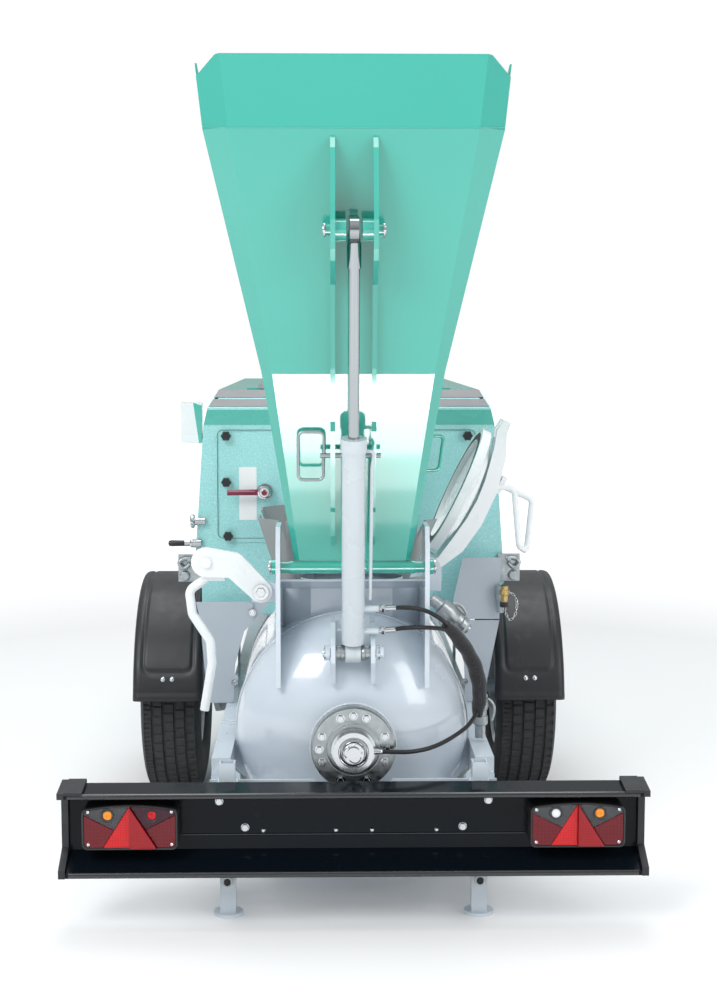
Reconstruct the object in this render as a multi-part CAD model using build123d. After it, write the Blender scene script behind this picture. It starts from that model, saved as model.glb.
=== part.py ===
from build123d import *
import math
import os

# Trailer-mounted screed conveyor, millimetres.
# X to the right seen from behind, +Y towards the drawbar, +Z up, ground at Z = 0.
# Heights and lengths below are set out from the light bar's rear lip (Y = 0) and the
# finished nodes are moved back by Y_CENTRE, so the origin lies under the middle.

# ---- driving dimensions ----
Y_CENTRE = 1960.47
GAP = 0.5                      # clearance between pieces that move past each other
RUN = 0.06                     # radial running clearance of a shaft in its bore

BAR_HALF = 720.0               # light bar without its end caps
BAR_DEPTH = 82.0
BAR_TOP = 360.0
BAR_LOW = 139.0
SHEET = 5.0

LEG_X, LEG_Y = 323.0, 128.0
LEG_SIZE = 40.0
FOOT_R = 38.0

RAIL_X = 347.0                 # centre of each chassis rail
RAIL_W, RAIL_LOW, RAIL_TOP = 50.0, 300.0, 380.0
FRAME_START, FRAME_END = 112.0, 2650.0
PAD_Y = 238.0                  # rear end of the rails, closed by the support pads

VESSEL_R, VESSEL_Z = 316.0, 422.0
VESSEL_BACK, VESSEL_FRONT = 420.0, 1060.0
DOME = 185.0                   # depth of each dished end
WALL = 8.0
FLANGE_Y = 165.0
SHAFT_R = 30.0

PIVOT_Y, PIVOT_Z = 310.0, 876.0          # skip pivot
CHUTE_ANGLE, TRAY_ANGLE, LIP_ANGLE = 72.0, 78.0, 103.0
CHUTE_LEN, TRAY_LEN, LIP_LEN = 538.0, 604.0, 185.0
PIVOT_TUBE_R, PIVOT_PIN_R = 17.5, 12.5
SKIP_LUG_X, LUG_T = 52.0, 12.0

RAM_LOW = (235.0, 660.0)       # lower pin of the lift cylinder, (Y, Z)
RAM_TRAY_S, RAM_DEPTH = 370.0, 70.0      # upper pin: along the tray, and out from it
BARREL_R, BORE_R, ROD_R = 30.0, 23.0, 14.0
BARREL_LEN = 582.0
RAM_PIN_R = 12.5

EAR_IN, EAR_OUT = 190.0, 202.0
NECK_Y, NECK_HALF = 650.0, 190.0
RING_TOP = 807.5

LID_X, LID_Z = 225.0, 838.0    # lid hinge axis, along Y
LID_OPEN = 115.3               # degrees from closed to the stored open place
LID_R = 188.0
LID_FACE = 808.0               # seal face when closed

LOCK_X, LOCK_Z = -245.0, 800.0

HOOD_BACK, HOOD_FRONT = 950.0, 2600.0
HOOD_SKIN = 4.0
HOOD_HALF = [(450.0, 640.0), (450.0, 720.0), (474.0, 734.0), (470.0, 800.0), (441.0, 1218.0),
             (428.0, 1272.0), (400.0, 1322.0)]
DOOR_HINGE_X, DOOR_HINGE_Z = 270.0, 1332.0
DOOR_BACK, DOOR_FRONT, DOOR_LOW = 1032.0, 2540.0, 820.0

AXLE_Y, WHEEL_X, TYRE_R, TYRE_W = 1350.0, 564.0, 325.0, 190.0
RIM_R = 178.0
SPINDLE_R = 22.0

DRAWBAR_Z, DRAWBAR_W = 350.0, 80.0
DRAWBAR_START, DRAWBAR_TIP = 3230.0, 3640.0
COUPLING_Y = 3900.0
JOCKEY_X, JOCKEY_Y = 105.0, 3420.0
JOCKEY_R = 90.0
FORK_TOP = 2 * JOCKEY_R + 45.0

os.makedirs("parts", exist_ok=True)
nodes = {}


# ---- helpers ----
def block(x0, x1, y0, y1, z0, z1):
    """A box from its lowest to its highest corner."""
    centre = Pos((x0 + x1) / 2, (y0 + y1) / 2, (z0 + z1) / 2)
    return centre * Box(x1 - x0, y1 - y0, z1 - z0)


def rod(start, end, radius, inner=0.0):
    """A round bar, or a tube, between two points."""
    start, end = Vector(*start), Vector(*end)
    length = (end - start).length
    place = Plane(origin=start, z_dir=end - start).location
    base = (Align.CENTER, Align.CENTER, Align.MIN)
    solid = place * Cylinder(radius, length, align=base)
    if inner:
        solid -= place * Pos(0, 0, -1) * Cylinder(inner, length + 2, align=base)
    return solid


def side_plate(points, x0, x1):
    """A plate with a (Y, Z) outline, from x0 to x1."""
    face = make_face(Polyline(*points, close=True))
    return extrude(Plane.YZ.offset(x0) * face, amount=x1 - x0)


def front_plate(points, y0, y1):
    """A plate with an (X, Z) outline, from y0 to y1."""
    face = make_face(Polyline(*points, close=True))
    return extrude(Plane.XZ.offset(-y0) * face, amount=y0 - y1)


def top_plate(points, z0, z1):
    """A plate with an (X, Y) outline, from z0 to z1."""
    face = make_face(Polyline(*points, close=True))
    return extrude(Plane.XY.offset(z0) * face, amount=z1 - z0)


def bent_tube(points, radius, bend):
    """A round tube along straight runs joined by arcs."""
    path = FilletPolyline(*points, radius=bend)
    start = Plane(origin=path @ 0, z_dir=path % 0)
    return sweep(start * Circle(radius), path=path)


def mirrored(shape):
    """The same piece on the other side of the machine."""
    return mirror(shape, about=Plane.YZ)


def joined(shapes):
    """Several pieces as one group."""
    return Compound([s for shape in shapes for s in shape.solids()])


def largest(shape):
    """The main solid of a cut that leaves offcuts."""
    return max(shape.solids(), key=lambda s: s.volume)


def keep(name, shape):
    moved = [Pos(0, -Y_CENTRE, 0) * s for s in shape.solids()]
    nodes[name] = moved[0] if len(moved) == 1 else Compound(moved)


# ---- skip profile: points along its underside ----
def along(angle):
    a = math.radians(angle)
    return Vector(0, -math.cos(a), math.sin(a))


def inward(angle):
    a = math.radians(angle)
    return Vector(0, math.sin(a), math.cos(a))


PIVOT = Vector(0, PIVOT_Y, PIVOT_Z)
KNEE = PIVOT + along(CHUTE_ANGLE) * CHUTE_LEN
WELD = KNEE + along(TRAY_ANGLE) * TRAY_LEN
LIP = WELD + along(LIP_ANGLE) * LIP_LEN


def on_chute(s, depth):
    """(Y, Z) of a point s up the chute and depth out from its underside."""
    p = PIVOT + along(CHUTE_ANGLE) * s - inward(CHUTE_ANGLE) * depth
    return (p.Y, p.Z)


def on_tray(s, depth):
    p = KNEE + along(TRAY_ANGLE) * s - inward(TRAY_ANGLE) * depth
    return (p.Y, p.Z)


RAM_TOP = on_tray(RAM_TRAY_S, RAM_DEPTH)


# ---- chassis ----
def chassis_frame():
    half = RAIL_W / 2
    rail = block(RAIL_X - half, RAIL_X + half, PAD_Y, FRAME_END, RAIL_LOW, RAIL_TOP)
    rail -= block(RAIL_X - half + 5, RAIL_X + half - 5, PAD_Y + 5, FRAME_END - 5,
                  RAIL_LOW + 5, RAIL_TOP - 5)
    rail += block(RAIL_X - half, RAIL_X + half, FRAME_START + 60, PAD_Y + 160, 240, RAIL_LOW)
    frame = rail + mirrored(rail)
    inner = RAIL_X + half
    frame += block(-inner, inner, FRAME_START + 60, FRAME_START + 68, 200, 340) \
        - rod((0, 100, VESSEL_Z), (0, 200, VESSEL_Z), 130)
    for y in (1275.0, 1700.0, FRAME_END - 60):
        frame += block(-inner, inner, y, y + 60, RAIL_LOW - 60, RAIL_LOW)
    half_leg = LEG_SIZE / 2
    for x in (-LEG_X, LEG_X):
        sleeve = block(x - half_leg - 6, x + half_leg + 6, LEG_Y - half_leg - 6, LEG_Y + half_leg + 24,
                       185, 345)
        sleeve -= block(x - half_leg - GAP, x + half_leg + GAP, LEG_Y - half_leg - GAP,
                        LEG_Y + half_leg + GAP, 180, 350)
        frame += sleeve
        frame += block(x - 30, x + 30, BAR_DEPTH + 6, LEG_Y - half_leg - 6, 250, 300)
    return frame


def axle_beam():
    beam = block(-430, 430, AXLE_Y + 110, AXLE_Y + 190, RAIL_LOW - 80, RAIL_LOW)
    beam -= block(-431, 431, AXLE_Y + 116, AXLE_Y + 184, RAIL_LOW - 74, RAIL_LOW - 6)
    arm_outline = [(AXLE_Y - 35, TYRE_R - 35), (AXLE_Y - 35, TYRE_R + 35), (AXLE_Y + 40, TYRE_R + 35),
                   (AXLE_Y + 200, RAIL_LOW), (AXLE_Y + 200, RAIL_LOW - 80), (AXLE_Y + 100, RAIL_LOW - 80)]
    arm = side_plate(arm_outline, 430, 448)
    arm += rod((448, AXLE_Y, TYRE_R), (WHEEL_X + 55, AXLE_Y, TYRE_R), SPINDLE_R)
    return beam + arm + mirrored(arm)


def mudguard():
    """Plastic guard over the right wheel: an arched sheet with a lip on each side."""
    x0, x1 = 455.0, 668.0
    outer, inner = 388.0, 382.0
    hub = (AXLE_Y, TYRE_R)
    guard = rod((x0, *hub), (x1, *hub), outer) - rod((x0 - 1, *hub), (x1 + 1, *hub), inner)
    lips = rod((x0, *hub), (x0 + 5, *hub), outer) + rod((x1 - 5, *hub), (x1, *hub), outer)
    lips -= rod((x0 - 1, *hub), (x1 + 1, *hub), outer - 32)
    guard += lips
    guard -= block(x0 - 5, x1 + 5, AXLE_Y - 500, AXLE_Y + 500, -100, 365)
    edge = RAIL_X + RAIL_W / 2
    for y in (AXLE_Y - 290, AXLE_Y + 250):
        guard += block(edge, edge + 8, y, y + 40, 340, 560) + block(edge, x0, y, y + 40, 552, 560)
    return guard


def tyre(x):
    """Closed tyre ring with a grooved tread."""
    half = TYRE_W / 2
    tread = 80.0
    profile = [(-62, RIM_R), (-half, RIM_R + 55), (-half, RIM_R + 92), (-tread, TYRE_R - 8),
               (-tread + 10, TYRE_R), (tread - 10, TYRE_R), (tread, TYRE_R - 8), (half, RIM_R + 92),
               (half, RIM_R + 55), (62, RIM_R), (50, RIM_R), (75, RIM_R + 60), (68, RIM_R + 120),
               (-68, RIM_R + 120), (-75, RIM_R + 60), (-50, RIM_R)]
    ring = revolve(Plane.XY * make_face(Polyline(*profile, close=True)), axis=Axis.X)
    for groove in (-42.0, 0.0, 42.0):
        cut = rod((groove - 5, 0, 0), (groove + 5, 0, 0), TYRE_R + 5)
        cut -= rod((groove - 6, 0, 0), (groove + 6, 0, 0), TYRE_R - 7)
        ring -= cut
    return Pos(x, AXLE_Y, TYRE_R) * ring


def rim(side):
    """Steel rim with a dished disc, bolt circle and hub; side is +1 on the right."""
    well = [(-64, RIM_R - 0.5), (-73, RIM_R + 14), (-77, RIM_R + 14), (-68, RIM_R - 5), (-20, RIM_R - 22),
            (20, RIM_R - 22), (68, RIM_R - 5), (77, RIM_R + 14), (73, RIM_R + 14), (64, RIM_R - 0.5),
            (25, RIM_R - 17), (-25, RIM_R - 17)]
    wheel = revolve(Plane.XY * make_face(Polyline(*well, close=True)), axis=Axis.X)
    dish = rod((8, 0, 0), (16, 0, 0), RIM_R - 19)
    for i in range(8):
        a = math.radians(45 * i + 22.5)
        y, z = 118 * math.cos(a), 118 * math.sin(a)
        dish -= rod((0, y, z), (20, y, z), 17)
    wheel += dish
    hub = rod((-62, 0, 0), (8, 0, 0), 48) + rod((16, 0, 0), (62, 0, 0), 34)
    for i in range(5):
        a = math.radians(72 * i + 90)
        y, z = 56 * math.cos(a), 56 * math.sin(a)
        hub += rod((16, y, z), (32, y, z), 9.5)
    wheel += hub
    wheel -= rod((-70, 0, 0), (56, 0, 0), SPINDLE_R + RUN)
    if side < 0:
        wheel = mirrored(wheel)
    return Pos(side * WHEEL_X, AXLE_Y, TYRE_R) * wheel


# ---- drawbar and coupling ----
def drawbar():
    half = DRAWBAR_W / 2
    low, high = DRAWBAR_Z - half, DRAWBAR_Z + half
    tongue = block(-half, half, DRAWBAR_START, DRAWBAR_TIP, low, high)
    for side in (-1, 1):
        arm = [(side * (RAIL_X - 25), FRAME_END), (side * (RAIL_X + 25), FRAME_END),
               (side * half, DRAWBAR_START + 60), (side * half, DRAWBAR_START - 50)]
        tongue += top_plate(arm, RAIL_LOW + 5, RAIL_TOP - 5)
    tongue += block(-half, half, DRAWBAR_START - 60, DRAWBAR_START, low, high)
    tongue -= rod((0, DRAWBAR_TIP - 200, DRAWBAR_Z), (0, DRAWBAR_TIP + 1, DRAWBAR_Z), 32)
    clamp = block(half, JOCKEY_X + 34, JOCKEY_Y - 34, JOCKEY_Y + 34, low, high)
    clamp -= rod((JOCKEY_X, JOCKEY_Y, low - 1), (JOCKEY_X, JOCKEY_Y, high + 1), 24 + GAP)
    lug = block(-12, 12, DRAWBAR_START + 90, DRAWBAR_START + 150, high, high + 60)
    lug -= rod((-20, DRAWBAR_START + 120, high + 36), (20, DRAWBAR_START + 120, high + 36), 8 + RUN)
    return tongue + clamp + lug


def overrun_housing():
    y0 = DRAWBAR_TIP
    body = rod((0, y0, DRAWBAR_Z), (0, y0 + 90, DRAWBAR_Z), 46)
    body += block(-62, 62, y0, y0 + 12, DRAWBAR_Z - 40, DRAWBAR_Z + 40)
    body -= rod((0, y0 - 5, DRAWBAR_Z), (0, y0 + 95, DRAWBAR_Z), 25 + RUN)
    for x in (-52, 52):
        for z in (-28, 28):
            body += rod((x, y0 + 12, DRAWBAR_Z + z), (x, y0 + 22, DRAWBAR_Z + z), 8)
    return body


def coupling_head():
    """Sliding shaft with a cup for a 50 mm ball."""
    y0, z = DRAWBAR_TIP, DRAWBAR_Z
    head = rod((0, y0 - 100, z), (0, COUPLING_Y, z), 25)
    head += block(-38, 38, COUPLING_Y - 50, COUPLING_Y + 66, z - 30, z + 26)
    head = head - Pos(0, COUPLING_Y + 22, z - 18) * Sphere(25.6)
    head -= rod((0, COUPLING_Y + 22, z - 40), (0, COUPLING_Y + 22, z - 18), 25.6)
    for x in (-20, 20):
        lug = block(x - 5, x + 5, COUPLING_Y - 45, COUPLING_Y - 5, z + 26, z + 62)
        lug -= rod((x - 8, COUPLING_Y - 25, z + 46), (x + 8, COUPLING_Y - 25, z + 46), 6 + RUN)
        head += lug
    return head


def coupling_handle():
    z = DRAWBAR_Z + 46
    y = COUPLING_Y - 25
    grip = rod((-26, y, z), (26, y, z), 6)
    grip += block(-13, 13, y - 9, y + 9, z - 9, z + 9)
    grip += bent_tube([(0, y, z + 4), (0, y - 12, z + 46), (0, y - 130, z + 58)], 9, 20)
    return grip


def brake_lever():
    y, z = DRAWBAR_START + 120, DRAWBAR_Z + DRAWBAR_W / 2 + 36
    lever = rod((-30, y, z), (30, y, z), 8)
    for x in (-22, 22):
        lever += rod((x - 5, y, z), (x + 5, y, z), 20)
    lever += block(-27, 27, y - 150, y - 120, z - 8, z + 8)
    for x in (-22, 22):
        lever += block(x - 5, x + 5, y - 150, y, z - 8, z + 8)
    lever += rod((0, y - 140, z), (0, y - 430, z + 60), 13)
    return lever


def jockey_tube():
    low = FORK_TOP
    tube = rod((JOCKEY_X, JOCKEY_Y, low), (JOCKEY_X, JOCKEY_Y, 640), 24, 19)
    tube += rod((JOCKEY_X, JOCKEY_Y, 640), (JOCKEY_X, JOCKEY_Y, 652), 28)
    tube += rod((JOCKEY_X, JOCKEY_Y, low), (JOCKEY_X, JOCKEY_Y, low + 10), 22)
    tube -= rod((JOCKEY_X, JOCKEY_Y, low - 1), (JOCKEY_X, JOCKEY_Y, low + 11), 10 + RUN)
    return tube


def jockey_fork():
    x, y, top = JOCKEY_X, JOCKEY_Y, FORK_TOP - GAP
    fork = rod((x, y, top), (x, y, top + 22), 10)
    fork += block(x - 44, x + 44, y - 25, y + 25, top - 10, top)
    leg_outline = [(y - 25, top), (y + 25, top), (y + 70, JOCKEY_R - 20), (y + 30, JOCKEY_R - 20)]
    for side in (-1, 1):
        inner = x + side * 38
        outer = x + side * 44
        fork += side_plate(leg_outline, min(inner, outer), max(inner, outer))
    fork += rod((x - 46, y + 45, JOCKEY_R), (x + 46, y + 45, JOCKEY_R), 8)
    return fork


def jockey_wheel():
    x, y = JOCKEY_X, JOCKEY_Y + 45
    profile = [(-30, 60), (-30, JOCKEY_R - 12), (-20, JOCKEY_R), (20, JOCKEY_R), (30, JOCKEY_R - 12), (30, 60),
               (12, 56), (12, 24), (35, 24), (35, 8 + RUN), (-35, 8 + RUN), (-35, 24), (-12, 24), (-12, 56)]
    wheel = revolve(Plane.XY * make_face(Polyline(*profile, close=True)), axis=Axis.X)
    return Pos(x, y, JOCKEY_R) * wheel


# ---- light bar ----
def light_bar():
    outline = [(0, 341), (0, 350), (BAR_DEPTH, BAR_TOP), (BAR_DEPTH, 186), (16, 145), (16, BAR_LOW),
               (0, BAR_LOW), (0, 150), (BAR_DEPTH - SHEET, 189), (BAR_DEPTH - SHEET, BAR_TOP - 7),
               (SHEET, 345), (SHEET, 341)]
    bar = side_plate(outline, -BAR_HALF, BAR_HALF)
    for x in (-LEG_X, LEG_X):
        bar += block(x - 30, x + 30, BAR_DEPTH, BAR_DEPTH + 6, 230, 320)
    return bar


def bar_end_cap():
    cap = side_plate([(-4, 341), (-4, 356), (BAR_DEPTH + 4, 368), (BAR_DEPTH + 4, 180), (20, BAR_LOW),
                      (-4, BAR_LOW), (-4, 160), (62, 200), (62, 341)], BAR_HALF, BAR_HALF + 17)
    cap += side_plate([(-4, 351), (-4, 358), (BAR_DEPTH + 4, 370), (BAR_DEPTH + 4, 361)],
                      BAR_HALF - 45, BAR_HALF)
    return cap


LAMP_X, LAMP_HALF = 560.0, 119.0
LAMP_LOW, LAMP_HIGH, LAMP_FACE, LAMP_BACK = 207.0, 322.0, 15.0, 77.0


def lamp_outline(margin):
    """Rounded lamp face with an arched top."""
    w = LAMP_HALF - margin
    low, high = LAMP_LOW + margin, LAMP_HIGH - margin
    corner = 14.0
    side_top = high - 10
    wire = [Line((-w + corner, low), (w - corner, low)),
            RadiusArc((w - corner, low), (w, low + corner), -corner),
            Line((w, low + corner), (w, side_top - corner)),
            RadiusArc((w, side_top - corner), (w - corner, side_top), -corner),
            ThreePointArc((w - corner, side_top), (0, high), (-w + corner, side_top)),
            RadiusArc((-w + corner, side_top), (-w, side_top - corner), -corner),
            Line((-w, side_top - corner), (-w, low + corner)),
            RadiusArc((-w, low + corner), (-w + corner, low), -corner)]
    return make_face(Wire(wire))


def lamp_slab(margin, y0, y1):
    return extrude(Plane.XZ.offset(-y0) * lamp_outline(margin), amount=y0 - y1)


def lamp_zone(points, y0, y1, margin=5.0):
    return lamp_slab(margin, y0, y1) & front_plate(points, y0, y1)


def lamp_parts():
    """Housing, red lenses, clear lenses and triangle of the lamp at X = 0."""
    housing = lamp_slab(0, LAMP_FACE, LAMP_BACK) - lamp_slab(4.5, LAMP_FACE - 1, LAMP_BACK - 20)
    lens_back = LAMP_FACE + 10
    low, high = LAMP_LOW + 5, LAMP_HIGH - 6
    foot = 66.0
    triangle = lamp_zone([(-foot, low), (foot, low), (0, high)], LAMP_FACE + 1, lens_back)
    split = (low + high) / 2 + 12
    slope = foot / (high - low)
    reds, clears = [], []
    for side in (-1, 1):
        gap = side * 1.5
        at_split = side * (high - split) * slope + gap
        outer = side * LAMP_HALF
        reds.append(lamp_zone([(side * foot + gap, low), (outer, low), (outer, split), (at_split, split)],
                              LAMP_FACE + 1, lens_back))
        clears.append(lamp_zone([(at_split, split + 1.5), (outer, split + 1.5), (outer, LAMP_HIGH),
                                 (side * 2, LAMP_HIGH), (side * 2, high)], LAMP_FACE + 1, lens_back))
    return housing, joined(reds), joined(clears), triangle


def bar_bolts():
    bolts = []
    for x, z in ((-341, 312), (-276, 244), (276, 244), (341, 312)):
        bolts.append(rod((x, BAR_DEPTH - SHEET - 7, z), (x, BAR_DEPTH - SHEET, z), 8))
    for x in (-46, 210, -230, 46):
        bolts.append(rod((x, BAR_DEPTH - SHEET - 5, 236), (x, BAR_DEPTH - SHEET, 236), 5))
    return bolts


def leg(side):
    x = side * LEG_X
    half = LEG_SIZE / 2
    tube = block(x - half, x + half, LEG_Y - half, LEG_Y + half, 8, 400)
    tube -= block(x - half + 4, x + half - 4, LEG_Y - half + 4, LEG_Y + half - 4, 12, 401)
    for z in (105, 165, 225, 285, 345):
        tube -= rod((x, LEG_Y - 30, z), (x, LEG_Y + 30, z), 9)
    tube += rod((x, LEG_Y, 0), (x, LEG_Y, 8), FOOT_R)
    return tube


# ---- pressure vessel ----
def vessel_body(r, dome):
    """Solid of revolution with ellipsoidal ends, around the shaft axis."""
    back = EllipticalCenterArc((VESSEL_BACK, 0), dome, r, start_angle=90, arc_size=90)
    front = EllipticalCenterArc((VESSEL_FRONT, 0), dome, r, start_angle=0, arc_size=90)
    top = Line((VESSEL_BACK, r), (VESSEL_FRONT, r))
    base = Line((VESSEL_BACK - dome, 0), (VESSEL_FRONT + dome, 0))
    face = Plane.YZ * make_face(Wire([back, top, front, base]))
    return Pos(0, 0, VESSEL_Z) * revolve(face, axis=Axis.Y)


def pressure_vessel(outer):
    """The barrel course and its two dished ends, butted at the weld seams."""
    shell = outer - vessel_body(VESSEL_R - WALL, DOME - WALL)
    shell -= rod((0, 0, VESSEL_Z), (0, 1400, VESSEL_Z), 66)
    shell -= rod((0, NECK_Y, VESSEL_Z), (0, NECK_Y, 800), 160)
    shell -= rod((0, 520, VESSEL_Z - 250), (420, 520, VESSEL_Z - 250), 40)
    courses = []
    for y0, y1 in ((0, VESSEL_BACK), (VESSEL_BACK, VESSEL_FRONT), (VESSEL_FRONT, 1500)):
        courses.append(shell & block(-400, 400, y0, y1, 0, 900))
    return courses


def octagon(half, cut):
    return [(-half, -cut), (-cut, -half), (cut, -half), (half, -cut), (half, cut), (cut, half), (-cut, half),
            (-half, cut)]


def filling_neck(outer):
    """Octagonal neck with its seat ring, and the two ears that carry the skip and the lid."""
    cut = 112.0
    shape = [(x, y + NECK_Y) for x, y in octagon(NECK_HALF, cut)]
    hollow = [(x, y + NECK_Y) for x, y in octagon(NECK_HALF - WALL, cut - 4)]
    plates = []
    for i in range(len(shape)):
        corners = [shape[i - 1], shape[i], hollow[i], hollow[i - 1]]
        plates.append(top_plate(corners, 560, RING_TOP - 12))
    ring = top_plate(shape, RING_TOP - 12, RING_TOP)
    plates.append(ring - rod((0, NECK_Y, 700), (0, NECK_Y, 820), 155))
    ear = side_plate([(268, 560), (268, 930), (292, 985), (398, 985), (440, 900), (440, 795), (800, 795),
                      (860, 740), (860, 560)], EAR_IN, EAR_OUT)
    ear -= rod((EAR_IN - 5, PIVOT_Y, PIVOT_Z), (EAR_OUT + 5, PIVOT_Y, PIVOT_Z), PIVOT_PIN_R + RUN)
    plates += [ear, mirrored(ear)]
    plates.append(side_plate([(345, 838), (345, 832), (460, RING_TOP - 12), (460, RING_TOP - 6)],
                             -EAR_IN, EAR_IN))
    for y in (575, 710):
        lug = block(EAR_OUT, LID_X + 30, y, y + 15, 770, LID_Z)
        lug += rod((LID_X, y, LID_Z), (LID_X, y + 15, LID_Z), 26)
        lug -= rod((LID_X, y - 5, LID_Z), (LID_X, y + 20, LID_Z), 12.5 + RUN)
        plates.append(lug)
    bracket = block(LOCK_X - 24, -EAR_OUT, 392, 432, LOCK_Z - 30, LOCK_Z + 20)
    plates.append(bracket - rod((LOCK_X, 380, LOCK_Z), (LOCK_X, 440, LOCK_Z), 10 + RUN))
    return [plate - outer for plate in plates]


def filling_funnel():
    """Flared collar around the neck, open for the chute behind and the lid on the right."""
    low_z, high_z = RING_TOP + 4, 985.0
    low = [(x, y) for x, y in octagon(205, 122)]
    high = [(x, y) for x, y in octagon(258, 150)]

    def flare(inset):
        bottom = [(x * (205 - inset) / 205, y * (205 - inset) / 205) for x, y in low]
        top = [(x * (258 - inset) / 258, y * (258 - inset) / 258) for x, y in high]
        faces = [Plane.XY.offset(z) * make_face(Polyline(*pts, close=True))
                 for pts, z in ((bottom, low_z), (top, high_z))]
        return loft(faces, ruled=True)

    funnel = flare(0) - flare(4)
    funnel = Pos(0, NECK_Y, 0) * funnel
    collar_z = low_z + 10
    funnel -= block(-180, 180, 300, 418, low_z - 5, 1100)
    funnel -= block(-140, 140, 418, 520, collar_z, 1100)
    funnel -= block(60, 400, 478, 862, collar_z, 1100)
    funnel -= block(60, 400, 560, 740, low_z - 5, 1100)
    funnel -= block(178, EAR_OUT + 4, 250, 445, low_z - 5, 1100)
    funnel -= block(-EAR_OUT - 4, -178, 250, 445, low_z - 5, 1100)
    funnel -= block(-300, -180, NECK_Y - 56, NECK_Y + 56, LID_FACE + 20, 1100)
    for y in (540, 750):
        funnel += block(-212, -202.5, y, y + 30, 775, low_z + 8)
    return largest(funnel)


def vessel_saddles(outer):
    """Support pads behind, and cradle plates between the vessel and the rails."""
    parts = []
    for side in (-1, 1):
        pad = [(297, 312), (297, 338), (318, 356), (348, 356), (372, 338), (372, 312)]
        pad = [(side * x, z) for x, z in pad]
        parts.append(front_plate(pad, PAD_Y - 12, PAD_Y))
        gusset = [(side * x, z) for x, z in [(322, 300), (322, 420), (300, 470), (228, 260), (240, 220)]]
        for y in (440, 1020):
            parts.append(front_plate(gusset, y, y + 10) - outer
                         - block(-400, 400, y - 1, y + 11, 100, 240))
        x0, x1 = sorted((side * 322, side * 300))
        shelf = block(x0, x1, PAD_Y, PAD_Y + 92, 300, 308)
        parts.append(shelf)
    return parts


def bearing_flange():
    y = FLANGE_Y
    flange = rod((0, y, VESSEL_Z), (0, y + 16, VESSEL_Z), 105.5)
    flange += rod((0, y + 16, VESSEL_Z), (0, y + 26, VESSEL_Z), 111)
    flange += rod((0, y + 26, VESSEL_Z), (0, 300, VESSEL_Z), 64)
    flange -= rod((0, y - 5, VESSEL_Z), (0, 305, VESSEL_Z), SHAFT_R + RUN)
    return flange


def flange_bolts():
    bolts = []
    for i in (0, 1, 3, 4, 5, 7, 9, 11, 12, 13, 15):
        a = math.radians(90 + 22.5 * i)
        x, z = 88 * math.cos(a), VESSEL_Z + 88 * math.sin(a)
        bolts.append(rod((x, FLANGE_Y - 3, z), (x, FLANGE_Y, z), 10)
                     + rod((x, FLANGE_Y - 12, z), (x, FLANGE_Y - 3, z), 7.5))
    return bolts


def shaft_cap():
    y, z = FLANGE_Y, VESSEL_Z
    cap = rod((0, y - 14, z), (0, y, z), 57)
    cap += rod((0, y - 40, z), (0, y - 14, z), 52)
    cap -= rod((0, y - 41, z), (0, y - 33, z), 40)
    cap += rod((0, y - 46, z), (0, y - 33, z), 27)
    cap += rod((0, y - 55, z), (0, y - 46, z), 17)
    cap -= rod((0, y - 20, z), (0, y + 1, z), SHAFT_R + 1)
    cap += rod((30, y - 26, z), (64, y - 26, z), 8)
    return cap


def mixer_shaft():
    shaft = rod((0, FLANGE_Y - 12, VESSEL_Z), (0, 1330, VESSEL_Z), SHAFT_R)
    for i, y in enumerate((490, 620, 750, 880, 1000)):
        a = 72 * i
        arm = block(-12, 12, -12, 12, 0, 235)
        blade = block(-8, 8, -60, 60, 235, 292)
        paddle = Rot(0, a, 0) * (arm + Rot(0, 0, 25) * blade)
        shaft += Pos(0, y, VESSEL_Z) * paddle
    return shaft


def cylinder_lugs(outer):
    y, z = RAM_LOW
    lugs = []
    for side in (-1, 1):
        plate = side_plate([(y - 26, z - 22), (y - 26, z + 22), (y - 10, z + 34), (y + 40, z + 74),
                            (y + 120, z + 74), (y + 120, z - 90), (y, z - 84)],
                           min(side * 46, side * 58), max(side * 46, side * 58))
        plate -= rod((-80, y, z), (80, y, z), RAM_PIN_R + RUN)
        lugs.append(plate - outer)
    return lugs


def lower_pin():
    y, z = RAM_LOW
    pin = rod((-68, y, z), (70, y, z), RAM_PIN_R)
    pin += rod((-72, y, z), (-60, y, z), 19) + rod((60, y, z), (66, y, z), 19)
    pin += rod((66, y, z), (80, y, z), 16)
    return pin


def ram_axis():
    low, high = Vector(0, *RAM_LOW), Vector(0, *RAM_TOP)
    return low, (high - low).normalized(), (high - low).length


def on_ram(s):
    """Point s up the lift cylinder's axis from its lower pin."""
    low, axis, _ = ram_axis()
    return tuple(low + axis * s)


def cylinder_barrel():
    low, axis, _ = ram_axis()
    barrel = rod(on_ram(30), on_ram(BARREL_LEN), BARREL_R)
    barrel += rod(on_ram(BARREL_LEN - 34), on_ram(BARREL_LEN), BARREL_R + 3)
    barrel += rod((-20, *RAM_LOW), (20, *RAM_LOW), 25)
    barrel -= rod(on_ram(60), on_ram(BARREL_LEN - 20), BORE_R)
    barrel -= rod(on_ram(BARREL_LEN - 25), on_ram(BARREL_LEN + 5), ROD_R + RUN)
    barrel -= rod((-40, *RAM_LOW), (40, *RAM_LOW), RAM_PIN_R + RUN)
    across = Vector(1, 0, 0)
    line = [low + axis * 548 + across * 26, low + axis * 548 + across * 52,
            low + axis * 505 + across * 46, low + axis * 150 + across * 44]
    barrel += bent_tube([tuple(p) for p in line], 4.5, 10)
    for s in (62, 124):
        barrel += rod(tuple(low + axis * s + across * 24), tuple(low + axis * s + across * 66), 9)
    return barrel


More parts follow.
